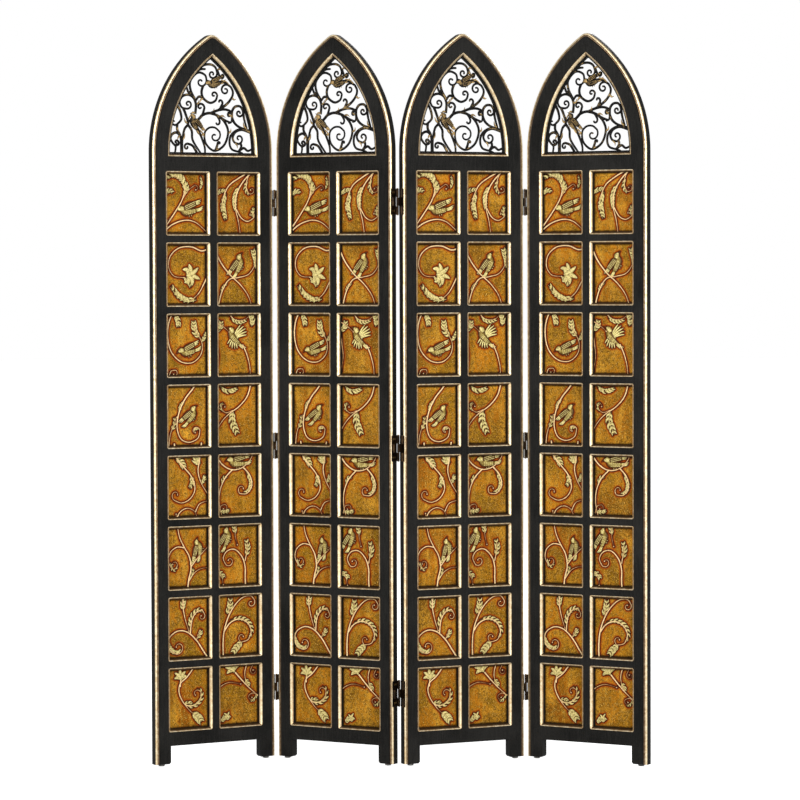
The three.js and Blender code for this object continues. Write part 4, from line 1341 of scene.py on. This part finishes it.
# %% List the fronds, the flowers and the birds
# Each frond: its pane, guide points, width, lobes and how long its left and right lobes are.
FRONDS = [
    ((0, 0), [(68, 36), (80, 26), (92, 12)], 13, 4, 1, 1),
    ((0, 0), [(50, 57), (70, 56), (88, 70), (90, 88), (80, 95)], 10, 6, 0.25, 1),
    ((0, 0), [(46, 60), (56, 62), (66, 58)], 7, 3, 1, 0.5),
    ((1, 0), [(74, 112), (82, 104), (84, 92)], 7, 3, 1, 1),
    ((1, 0), [(108, 72), (98, 60), (88, 58)], 6, 3, 1, 0.4),
    ((1, 0), [(8, 8), (18, 18), (26, 14)], 9, 4, 1, 0.6),
    ((0, 1), [(0, 50), (-2, 32), (10, 14), (28, 10), (40, 20)], 13, 7, 1, 0.2),
    ((0, 1), [(62, 70), (68, 98), (84, 114), (100, 110)], 12, 6, 0.9, 0.3),
    ((0, 1), [(42, 120), (42, 134), (46, 146)], 9, 3, 1, 1),
    ((0, 1), [(82, 46), (90, 58), (92, 68)], 7, 3, 1, 1),
    ((1, 1), [(34, 84), (60, 88), (82, 78), (92, 58), (84, 38)], 12, 8, 0.9, 0.3),
    ((1, 1), [(24, 104), (32, 122), (34, 142)], 10, 4, 1, 1),
    ((1, 1), [(66, 30), (52, 18), (40, 4)], 11, 4, 1, 1),
    ((0, 2), [(8, 62), (16, 44), (28, 54)], 6, 4, 0.4, 1),
    ((0, 2), [(62, 56), (70, 66), (82, 70)], 7, 3, 0.6, 1),
    ((0, 2), [(60, 18), (70, 32), (72, 46)], 6, 3, 1, 0.6),
    ((1, 2), [(80, 72), (84, 92), (80, 112)], 9, 4, 1, 1),
    ((1, 2), [(50, 130), (46, 144), (50, 156)], 8, 3, 1, 1),
    ((1, 2), [(-4, 30), (8, 28), (16, 18)], 8, 4, 1, 1),
    ((0, 3), [(66, 100), (70, 84), (62, 70)], 8, 4, 1, 1),
    ((0, 3), [(92, 130), (82, 140), (84, 152)], 12, 4, 1, 1),
    ((0, 3), [(24, 146), (38, 138), (48, 122)], 10, 4, 1, 1),
    ((0, 3), [(96, 80), (104, 90), (106, 102)], 8, 3, 1, 0.6),
    ((1, 3), [(82, 106), (96, 84), (92, 60), (72, 50)], 11, 7, 0.3, 1),
    ((1, 3), [(10, 80), (18, 92), (28, 94)], 7, 3, 1, 0.5),
    ((1, 3), [(4, 8), (20, 6), (34, 10)], 8, 4, 1, 0.6),
    ((0, 4), [(34, 84), (36, 100), (46, 112)], 8, 4, 0.4, 1),
    ((0, 4), [(88, 40), (78, 44), (74, 36)], 6, 3, 1, 0.5),
    ((0, 4), [(14, 40), (22, 56), (22, 72)], 7, 3, 1, 1),
    ((1, 4), [(44, 82), (42, 58), (56, 26)], 12, 5, 1, 1),
    ((1, 4), [(10, 146), (30, 138), (56, 144)], 12, 5, 0.2, 1),
    ((1, 4), [(14, 84), (10, 96), (18, 104)], 6, 3, 1, 0.4),
    ((0, 5), [(92, 94), (80, 108), (76, 134)], 10, 5, 1, 1),
    ((0, 5), [(24, 150), (32, 136), (34, 120)], 9, 4, 1, 1),
    ((0, 5), [(98, 82), (106, 98), (112, 110)], 8, 4, 0.5, 1),
    ((1, 5), [(40, 142), (60, 134), (84, 138)], 10, 5, 0.3, 1),
    ((1, 5), [(98, 120), (100, 136), (94, 150)], 9, 4, 1, 1),
    ((1, 5), [(-4, 108), (8, 118), (12, 134)], 9, 4, 1, 1),
    ((0, 6), [(84, 10), (58, 6), (32, 18), (12, 44)], 15, 7, 0.3, 1),
    ((0, 6), [(48, 66), (62, 58), (70, 42)], 8, 4, 0.4, 1),
    ((1, 6), [(110, 88), (112, 108), (102, 136)], 10, 6, 1, 1),
    ((1, 6), [(12, 28), (20, 42), (30, 50)], 6, 4, 1, 0.6),
    ((0, 7), [(52, 108), (44, 130), (24, 142), (2, 134)], 15, 7, 0.3, 1),
    ((0, 7), [(0, 96), (10, 104), (20, 100)], 9, 4, 1, 0.5),
    ((0, 7), [(52, 96), (58, 112), (56, 126)], 8, 4, 1, 1),
    ((0, 7), [(96, 110), (102, 124), (98, 142)], 6, 4, 1, 0.5),
    ((1, 7), [(26, 100), (16, 70), (24, 32)], 12, 7, 1, 0.5),
    ((1, 7), [(66, 116), (56, 92), (56, 58)], 12, 7, 0.3, 1),
    ((1, 7), [(0, 96), (12, 104), (28, 106)], 8, 4, 1, 0.6),
    ((1, 7), [(88, 130), (84, 112), (94, 98)], 8, 4, 0.3, 1),
    ((1, 7), [(104, 40), (102, 54), (106, 66)], 6, 3, 1, 1),
]
# Each flower: its pane, middle, direction, size, petals and how far they spread.
FLOWERS = [
    ((0, 0), (35, 124), 96, 26, 5, 120),
    ((1, 0), (42, 136), 118, 28, 5, 120),
    ((1, 0), (22, 20), 60, 14, 5, 200),
    ((0, 6), (62, 72), 8, 34, 6, 190),
]
# Each bird: its pane, middle, direction, size, whether it is mirrored, and whether it flies.
BIRDS = [
    ((0, 2), (84, 92), 82, 27, False, False),
    ((1, 2), (20, 116), 64, 30, False, False),
    ((1, 3), (58, 134), 186, 32, True, False),
    ((0, 4), (64, 74), 44, 29, False, False),
    ((0, 5), (62, 62), 200, 30, True, False),
    ((1, 5), (54, 92), 142, 32, True, True),
    ((1, 6), (58, 96), 58, 31, False, False),
    ((0, 7), (66, 60), 196, 33, True, False),
]


print(len(FRONDS), "fronds,", len(FLOWERS), "flowers and", len(BIRDS), "birds listed")

# %% Raise the leaves and the flock
FROND_SPREAD = 1.2  # fronds are drawn this much wider than they are listed


def draw_leaves():
    skin = Skin()
    for pane, guides, width, lobes, left, right in FRONDS:
        frond(skin, [on_board(pane, guide) for guide in guides], width * FROND_SPREAD, lobes, left, right)
    for pane, at, angle, size, petals, spread in FLOWERS:
        flower(skin, on_board(pane, at), angle, size, petals, spread)
    return skin


leaves_mesh = draw_leaves().mesh("leaves", smooth=70)
flock = Skin()
for pane, at, angle, size, flip, flying in BIRDS:
    draw_bird(flock, on_board(pane, at), angle, size, flip, True, flying)
flock_mesh = flock.mesh("flock", smooth=70)
print("leaves have", len(leaves_mesh.polygons), "faces and birds", len(flock_mesh.polygons))

# %% [markdown]
# ## The gilded ground
# The leaf is laid over red clay, and the varnish gathers against the raised work, so a red-brown halo
# follows every vine; the halo is also painted shadow, darkest right against the relief. The board's
# mesh is a fine grid, and each point carries how near it is to the relief. A search tree over the
# relief's own points measures that, so the halo follows any drawing. Each point also carries how near
# it is to the walls of its pane, where a painted shade darkens it.

# %% Build the board
GRID_STEP = 3.0
HALO_REACH = 10.0
WALL_SHADE_REACH = 9.0


def flat_points(data):
    places = np.zeros(len(data.vertices) * 3)
    data.vertices.foreach_get("co", places)
    return places.reshape(-1, 3)[:, :2]


def relief_tree():
    points = np.vstack([flat_points(m) for m in (vines_mesh, leaves_mesh, flock_mesh)])
    tree = KDTree(len(points))
    for number, (x, y) in enumerate(points):
        tree.insert((x, y, 0), number)
    tree.balance()
    return tree


def painted_wall_shade(x, z):
    """How near a point is to the walls of its pane, from 0 to 1, for the painted shade there."""
    aside = min(OPENING_HALF - abs(x), abs(x) - (MULLION_HALF + MOULDING))
    up = (z - PANES_BOTTOM) % ROW_PITCH
    along = min(up - MOULDING, PANE_HEIGHT - MOULDING - up)
    return min(1.0, max(0.0, 1 - min(aside, along) / WALL_SHADE_REACH))


def board_skin():
    skin = Skin()
    near = relief_tree()
    half, low, high = PANE_OUTER - 0.4, PANES_BOTTOM + 0.4, PANES_TOP - 0.4
    columns = round(2 * half / GRID_STEP)
    rows = round((high - low) / GRID_STEP)
    xs = np.linspace(-half, half, columns + 1)
    ys = np.linspace(low, high, rows + 1)
    points = [(x, FRONT + BOARD_DEPTH, y) for y in ys for x in xs]
    halo = [max(0.0, 1 - near.find((x, z, 0))[2] / HALO_REACH) for x, _, z in points]
    skin.add(points, halo=halo, leaf=[1.0] * len(points), corner=[painted_wall_shade(x, z) for x, _, z in points])
    width = columns + 1
    for row in range(rows):
        for column in range(columns):
            at = row * width + column
            skin.faces.append((at, at + 1, at + width + 1, at + width))
    rim = list(range(columns)) + [columns + row * width for row in range(rows)]
    rim += [rows * width + columns - column for column in range(columns)]
    rim += [(rows - row) * width for row in range(rows)]
    start = skin.add([(points[i][0], points[i][1] + BOARD_THICKNESS, points[i][2]) for i in rim])
    for i in range(len(rim)):
        j = (i + 1) % len(rim)
        skin.faces.append((rim[i], rim[j], start + j, start + i))
    skin.faces.append(tuple(range(start + len(rim) - 1, start - 1, -1)))
    return skin


board_mesh = board_skin().mesh("board", smooth=30)
print("board has", len(board_mesh.polygons), "faces")

# %% [markdown]
# The gold is built up as the gilder would: amber patches, brighter sunny ones, streaks, dull mottle
# and flecks, with worn spots down to the clay. The halo, partly painted shadow, and a painted shade
# along the walls of each pane go over it, and the unseen back stays plain black. `leaf` is 1 on the
# front of the board.


# %% Make the gold leaf
def make_gold_leaf(name):
    material, shader, place = new_finish(name)
    halo = mark(place, "halo")
    front = mark(place, "leaf")
    corner = mark(place, "corner")
    broad = noise(place, 14.0, 3.0, 0.55)
    streaks = noise(place, 55.0, 3.0, 0.6, (1.0, 1.0, 0.12))
    mottle = noise(place, 150.0, 5.0, 0.75)
    speck = noise(place, 520.0, 3.0, 0.65)
    depth = noise(place, 4.5, 2.0, 0.5)
    amber = broad.between(0.35, 0.65).blend(shade(188, 118, 18), shade(170, 130, 28))
    amber = depth.between(0.46, 0.66).blend(amber, shade(152, 88, 10))
    sunny = (noise(place, 9.0, 4.0, 0.6) + mottle * 0.5).between(0.78, 0.92)
    amber = sunny.blend(amber, shade(226, 164, 48))
    aged = streaks.between(0.42, 0.68).blend(amber, shade(200, 146, 44))
    dull = (mottle + broad * 0.3).between(0.56, 0.74).blend(aged, shade(98, 62, 4))
    flecks = (speck * 0.6 + mottle * 0.4).between(0.54, 0.62).blend(dull, shade(226, 180, 84))
    worn = (speck * 0.5 + mottle * 0.5).between(0.39, 0.46)
    ground = (1 - worn).blend(flecks, shade(76, 38, 2))
    # The red-brown halo round the relief: varnish, and painted shadow.
    edge = (halo + mottle * 0.4 - 0.2).between(0.25, 0.8).blend(ground, shade(148, 62, 6))
    # Painted contact shadow: the darkest band right against the relief.
    hollow = (halo + speck * 0.12 - 0.06).between(0.62, 0.9).blend(edge, shade(58, 14, 2))
    # Painted shade on the board along the walls of each pane.
    hollow = (corner + mottle * 0.3 - 0.15).between(0.3, 1.0).blend(hollow, shade(26, 14, 4))
    back = speck.between(0.4, 0.7).blend(shade(22, 20, 18), shade(34, 31, 28))
    feed(shader, Base_Color=front.between(0.4, 0.6).blend(back, hollow))
    feed(shader, Metallic=front * (1 - halo * 0.6) * 0.35, Roughness=0.5 + mottle * 0.16 - streaks * 0.08)
    feed(shader, Normal=bump(mottle * 0.6 + speck * 0.4, 0.0006, 0.6), Specular_IOR_Level=0.08)
    return material


gold_leaf = make_gold_leaf("toned_gold_leaf")
print("made", gold_leaf.name)

# %% [markdown]
# The vines, the leaves and the birds have three paints of one kind. Each is dark in its hollows and
# pale on its crest: varnish left and wiped, and also painted shade and painted highlight. The leaves
# and birds are more dotted with dark than the vines.


# %% Make the paint of the raised work
def make_relief(name, dark, middle, light, dotted):
    """Raised work: pale on its crest and dark in its hollows, as wiped varnish and as painted highlight and
    shade.
    """
    material, shader, place = new_finish(name)
    crest = mark(place, "crest")
    wear = noise(place, 150.0, 4.0, 0.6)
    grit = noise(place, 400.0, 4.0, 0.7)
    # Pale crest and dark hollows: wiped varnish, with painted highlight and painted shade.
    raised = crest + wear * 0.5 - 0.25
    body = raised.between(0.35, 0.75).blend(dark, middle)
    colour = (raised + grit * 0.4 - 0.2).between(0.55, 0.95).blend(body, light)
    colour = (grit.between(0.5, 0.6) * dotted).blend(colour, dark)
    feed(shader, Base_Color=colour, Metallic=0.12, Roughness=0.42 + wear * 0.12)
    feed(shader, Normal=bump(wear * 0.5 + grit * 0.5, 0.0003, 0.5), Specular_IOR_Level=0.2)
    return material


vine_paint = make_relief("vine_paint", shade(66, 28, 8), shade(178, 120, 64), shade(246, 212, 156), 0.3)
leaf_paint = make_relief("leaf_paint", shade(74, 48, 12), shade(150, 126, 56), shade(222, 206, 136), 0.7)
bird_paint = make_relief("bird_paint", shade(78, 50, 14), shade(164, 142, 64), shade(240, 226, 152), 0.65)
onto_board = Matrix.Translation((0, FRONT + BOARD_DEPTH, 0)) @ UPRIGHT
for panel, place in PANEL_PLACES.items():
    node = f"{panel}_painted_board"
    dress(f"{panel}_gilded_board", board_mesh, place, panel, gold_leaf, [node])
    dress(f"{panel}_vines", vines_mesh, place @ onto_board, panel, vine_paint, [node])
    dress(f"{panel}_leaves", leaves_mesh, place @ onto_board, panel, leaf_paint, [node])
    dress(f"{panel}_painted_birds", flock_mesh, place @ onto_board, panel, bird_paint, [node])
print("boards dressed")

# %% [markdown]
# ## Hinges
# Each fold turns on three reversible hinges of dark antique brass. A leaf is a plate let into the
# edge, with barrels along the working side, bored for the pin, and idle ones set back on the other.
# A barrel's plan is drawn once, with its web, and carried up with a small chamfer.

# %% Make the brass
def make_brass(name, dark, light):
    material, shader, place = new_finish(name)
    tarnish = noise(place, 240.0, 4.0, 0.6)
    smudge = noise(place, 45.0, 2.0)
    fine = noise(place, 1300.0, 2.0)
    colour = (tarnish * 0.6 + smudge * 0.4).between(0.42, 0.7).blend(dark, light)
    feed(shader, Base_Color=colour, Metallic=0.85, Roughness=0.26 + smudge * 0.16)
    feed(shader, Normal=bump(tarnish * 0.5 + fine * 0.5, 0.0002, 0.5))
    return material


brass = make_brass("antique_brass", shade(26, 18, 11), shade(74, 54, 32))
pin_brass = make_brass("worn_brass", shade(120, 96, 60), shade(196, 168, 116))
print("made", brass.name, "and", pin_brass.name)

# %% [markdown]
# The plate of a leaf is a loft with rounded corners, and its barrels fill the middle third of its
# height or the two outer ones. Pins and the rims of screw heads are turned from one profile each.

# %% Draw a barrel
HINGE_HALF = 32.5
LEAF_THICKNESS = 1.5
KNUCKLE_RADIUS = 3.05
BORE_RADIUS = 1.75
PIN_RADIUS = 1.5
AXIS_X = 171.5
WORKING_AXIS = 13.5
IDLE_AXIS = 9.6
KNUCKLE_GAP = 0.3
KNUCKLE_STEPS = 22
CHAMFER = 0.35
LEAF_CORNER = 1.6
LOW_HINGE = 181.0  # from the floor
HIGH_HINGE = 125.0  # below the spring of the arch
HINGE_CENTRES = [LOW_HINGE, (LOW_HINGE + SPRING - HIGH_HINGE) / 2, SPRING - HIGH_HINGE]


def circle(x, y, radius, sides=24):
    angles = [2 * math.pi * i / sides for i in range(sides)]
    return [(x + radius * math.cos(a), y + radius * math.sin(a)) for a in angles]


def turned(profile, sides, x=0, y=0):
    """One profile of radii and heights, carried round an upright axis as on a lathe."""
    skin = Skin()
    skin.loft([[(*point, z) for point in circle(x, y, radius, sides)] for radius, z in profile])
    return skin


def knuckle_plan(depth, face, shrink=0.0):
    """A barrel on a web from the plate, about an axis at (AXIS_X, face * depth)."""
    radius = KNUCKLE_RADIUS - shrink
    root = HALF_WIDTH - LEAF_THICKNESS / 2
    outside = min(depth + KNUCKLE_RADIUS, BACK) - shrink
    inside = min(depth - KNUCKLE_RADIUS, BACK - LEAF_THICKNESS) + shrink
    start = -(math.pi - math.asin(max(-1.0, min(1.0, (depth - inside) / radius))))
    end = math.pi - math.asin(max(-1.0, min(1.0, (outside - depth) / radius)))
    turn = [start + (end - start) * i / KNUCKLE_STEPS for i in range(KNUCKLE_STEPS + 1)]
    round_part = [(AXIS_X + radius * math.cos(a), depth + radius * math.sin(a)) for a in turn]
    return [(x, y * face) for x, y in [(root, inside), *round_part, (root, outside)]]


def barrel(skin, depth, face, low, high, bored):
    levels = ((CHAMFER, low), (0, low + CHAMFER), (0, high - CHAMFER), (CHAMFER, high))
    loops = [(knuckle_plan(depth, face, shrink), z) for shrink, z in levels]
    starts = [skin.add([(x, y, z) for x, y in plan]) for plan, z in loops]
    for a, b in zip(starts, starts[1:]):
        skin.join(a, b, len(loops[0][0]))
    if bored:
        bore = circle(AXIS_X, face * depth, BORE_RADIUS, 16)
        ends = [skin.add([(x, y, z) for x, y in bore]) for z in (low, high)]
        skin.join(ends[0], ends[1], len(bore))
        skin.region([loops[0][0], bore], [starts[0], ends[0]])
        skin.region([loops[-1][0], bore], [starts[-1], ends[1]])
    else:
        skin.region([loops[0][0]], [starts[0]])
        skin.region([loops[-1][0]], [starts[-1]])


print("a barrel's plan has", len(knuckle_plan(WORKING_AXIS, 1)), "points")


# %% Build a leaf
def knuckle_spans(middle):
    third = 2 * HINGE_HALF / 3
    if middle:
        return [(-third / 2 + KNUCKLE_GAP / 2, third / 2 - KNUCKLE_GAP / 2)]
    return [(-HINGE_HALF, -third / 2 - KNUCKLE_GAP / 2), (third / 2 + KNUCKLE_GAP / 2, HINGE_HALF)]


def hinge_leaf(side, face):
    """A leaf on the right edge (side 1) or the left (-1), with its working barrels toward face."""
    skin = Skin()
    corner = LEAF_CORNER
    rings = []
    for grow_out, x in ((0.0, HALF_WIDTH - LEAF_THICKNESS), (0.0, HALF_WIDTH - 0.3), (-0.3, HALF_WIDTH)):
        ring = []
        for cy, cz, first in ((1, 1, 0), (-1, 1, 90), (-1, -1, 180), (1, -1, 270)):
            for i in range(4):
                angle = math.radians(first + 30 * i)
                y = cy * (BACK - 0.1 - corner) + (corner + grow_out) * math.cos(angle)
                z = cz * (HINGE_HALF - corner) + (corner + grow_out) * math.sin(angle)
                ring.append((x, y, z))
        rings.append(ring)
    skin.loft(rings)
    front_middle = side > 0
    for working in (True, False):
        toward = face if working else -face
        depth = WORKING_AXIS if working else IDLE_AXIS
        for low, high in knuckle_spans(front_middle if toward < 0 else not front_middle):
            barrel(skin, depth, toward, low, high, working)
    return skin if side > 0 else skin.copied(lambda p: (-p[0], p[1], p[2]))


print("a leaf has", len(knuckle_spans(True)), "or", len(knuckle_spans(False)), "working barrels")


# %% Turn the pins and the screws
def hinge_pin(face):
    """A pin with a low domed head at each end."""
    profile = [(0.3, -34.1), (1.6, -33.9), (2.5, -33.3), (2.6, -32.65), (PIN_RADIUS, -32.6)]
    profile += [(PIN_RADIUS, 32.6), (2.6, 32.65), (2.5, 33.3), (1.6, 33.9), (0.3, 34.1)]
    return turned(profile, 16, AXIS_X, face * WORKING_AXIS)


def screw_head():
    """A slotted head drawn flat, its face up: a dished rim and two raised halves."""
    skin = turned([(2.7, 0.0), (2.7, 0.12), (2.45, 0.2), (2.2, 0.14)], 14)
    for side in (1, -1):
        half = []
        for i in range(8):
            angle = math.radians(12 + 156 * i / 7)
            half.append((2.15 * math.cos(angle), side * max(2.15 * math.sin(angle), 0.38)))
        skin.loft([[(x, y, z) for x, y in half] for z in (0.05, 0.3)])
    return skin


SCREW_SPACING = 7.0
SCREW_RISE = 46.0
screw_sizes = {"Columns": 2, "Rows": 2, "Width": SCREW_SPACING, "Height": SCREW_RISE, "Finish": brass}
screws = grow(screw_head().mesh("screw", smooth=30), set_out_on_grid, screw_sizes)
leaf_meshes = {}
for side in (1, -1):
    for face in (1, -1):
        leaf_meshes[side, face] = hinge_leaf(side, face).mesh("leaf", smooth=32)
pin_meshes = {face: hinge_pin(face).mesh("pin", smooth=40) for face in (1, -1)}
print("a leaf has", len(leaf_meshes[1, 1].polygons), "faces, its screws", len(screws.polygons))

# %% [markdown]
# Fold 1 and fold 3 have their axes at the front and fold 2 at the back, so that the screen packs flat.
# A pin rides with the panel to its left. The screws come from the grid tree.

# %% Hang the panels
FOLD_FACES = [-1, 1, -1]  # the side on which each fold has its axis: -1 is the front


def onto_edge(side):
    """Carries a flat drawing, face up, to a panel's edge at height 0."""
    turn = UPRIGHT @ Matrix.Rotation(side * math.pi / 2, 4, "Y")
    return Matrix.Translation((side * HALF_WIDTH, 0, 0)) @ turn


for fold, face in enumerate(FOLD_FACES):
    left, right = PANELS[fold][0], PANELS[fold + 1][0]
    for level_number, height in enumerate(HINGE_CENTRES):
        up = Matrix.Translation((0, 0, height))
        hinge = f"fold_{fold + 1}_hinge_{level_number + 1}"
        for panel, side, letter in ((left, 1, "a"), (right, -1, "b")):
            place = PANEL_PLACES[panel] @ up
            node = f"{hinge}_leaf_{letter}"
            dress(f"{node}_cast", leaf_meshes[side, face], place, panel, brass, [node])
            dress(f"{node}_screws", screws, place @ onto_edge(side), panel, pin_brass)
        pin, place = f"{hinge}_pin", PANEL_PLACES[left] @ up
        dress(f"{pin}_turned", pin_meshes[face], place, left, pin_brass, [pin])
print("hinges hung")

# %% [markdown]
# ## Glides
# Each foot stands on a nail-on steel glide, a pressed dome with a rolled edge. It is turned: one
# profile carried round an upright axis.

# %% Make and fit the glides
def make_steel(name):
    material, shader, place = new_finish(name)
    scuff = noise(place, 500.0, 4.0, 0.65)
    rings = noise(place, 90.0, 2.0)
    colour = scuff.between(0.4, 0.7).blend(shade(96, 94, 90), shade(168, 166, 160))
    feed(shader, Base_Color=colour, Metallic=0.9, Roughness=0.3 + rings * 0.2)
    feed(shader, Normal=bump(scuff, 0.0002, 0.4))
    return material


steel = make_steel("pressed_steel")
GLIDE_PROFILE = [(0.5, 0.0), (4.6, 0.05), (6.4, 0.5), (7.5, 1.4), (8.0, 2.7)]  # radius and height
GLIDE_PROFILE += [(7.8, 3.5), (7.2, 3.9), (7.2, 4.7), (0.5, 4.75)]
glide_mesh = turned(GLIDE_PROFILE, 28).mesh("glide", smooth=40)
for panel, place in PANEL_PLACES.items():
    for side, word in ((-1, "left"), (1, "right")):
        under_foot = place @ Matrix.Translation((side * (HALF_WIDTH + OPENING_HALF) / 2, 0, 0))
        glide = f"{panel}_glide_{word}"
        dress(f"{glide}_dome", glide_mesh, under_foot, panel, steel, [glide])
print("glides fitted")

# %% [markdown]
# ## Panel pins in the back
# The board is held in its rebate by small round-headed pins driven from the back, as a framer would.
# One turned head is set out twice with the grid tree: up both sides, and along the top and bottom.

# %% Drive the pins
PIN_EDGE = 5.0  # from the edge of the board
SIDE_PINS = 12
TOP_PINS = 4
TOP_PIN_INSET = 30.0  # from the side rows to the first pin of a level row
head_profile = [(1.6, -0.1), (2.1, 0.0), (1.9, 0.3), (1.3, 0.62), (0.4, 0.75)]
pin_head_mesh = turned(head_profile, 12).mesh("pin_head", smooth=50)
board_span = 2 * (PANE_OUTER - PIN_EDGE)
board_rise = PANES_TOP - PANES_BOTTOM - 2 * PIN_EDGE
level_span = board_span - 2 * TOP_PIN_INSET
pin_sizes = {"Height": board_rise, "Finish": pin_brass}
upright_sizes = {**pin_sizes, "Columns": 2, "Rows": SIDE_PINS, "Width": board_span}
level_sizes = {**pin_sizes, "Columns": TOP_PINS, "Rows": 2, "Width": level_span}
upright_pins = grow(pin_head_mesh, set_out_on_grid, upright_sizes)
level_pins = grow(pin_head_mesh, set_out_on_grid, level_sizes)
board_back = Matrix.Translation((0, FRONT + BOARD_DEPTH + BOARD_THICKNESS, (PANES_TOP + PANES_BOTTOM) / 2))
onto_back = board_back @ Matrix.Rotation(-math.pi / 2, 4, "X")
for panel, place in PANEL_PLACES.items():
    dress(f"{panel}_back_pins_upright", upright_pins, place @ onto_back, panel, pin_brass)
    dress(f"{panel}_back_pins_level", level_pins, place @ onto_back, panel, pin_brass)
print("back pins have", len(upright_pins.polygons) + len(level_pins.polygons), "faces a panel")

# %% [markdown]
# ## Floor, world and lights
# The photograph has a plain white ground. The floor and the world look white to the camera by Light
# Path, and don't light the screen more for it. Two large lamps stand in front, and one behind so that
# the back isn't lost in black.


# %% Set the floor, world and lights
FLOOR_REACH = 40
SCREEN_MIDDLE = (0, 0, 0.9)
floor_corners = [(x * FLOOR_REACH, y * FLOOR_REACH, 0) for x, y in ((-1, -1), (1, -1), (1, 1), (-1, 1))]
floor_mesh = bpy.data.meshes.new("floor")
floor_mesh.from_pydata(floor_corners, [], [(0, 1, 2, 3)])
floor = add_object("floor", floor_mesh)
floor_finish, floor_shader, _ = new_finish("pale_floor")
feed(floor_shader, Base_Color=(*shade(240, 240, 240), 1.0), Roughness=0.9, Emission_Color=(1, 1, 1, 1))
floor_seen = Wire(floor_finish.node_tree).node("ShaderNodeLightPath")
feed(floor_shader, Emission_Strength=floor_seen * 0.75)
floor_mesh.materials.append(floor_finish)

world = bpy.data.worlds.new("studio")
bpy.context.scene.world = world
world.use_nodes = True
sky = Wire(world.node_tree)
background = world.node_tree.nodes["Background"]
seen = sky.node("ShaderNodeLightPath")
world.node_tree.links.new((seen * 0.6 + 0.4).socket, background.inputs["Strength"])
background.inputs["Color"].default_value = (1, 1, 1, 1)


def soft_light(name, place, aim, size, power):
    data = bpy.data.lights.new(name, "AREA")
    data.shape = "SQUARE"
    data.size = size
    data.energy = power
    lamp = add_object(name, data)
    lamp.location = place
    lamp.rotation_euler = (Vector(aim) - Vector(place)).to_track_quat("-Z", "Y").to_euler()


soft_light("front_left", (-3.6, -6.5, 2.6), SCREEN_MIDDLE, 2.6, 300)
soft_light("front_right", (3.6, -6.5, 2.6), SCREEN_MIDDLE, 2.6, 300)
soft_light("behind", (1.6, 5.5, 3.2), SCREEN_MIDDLE, 2.2, 160)
print("floor, world and three lamps are set")
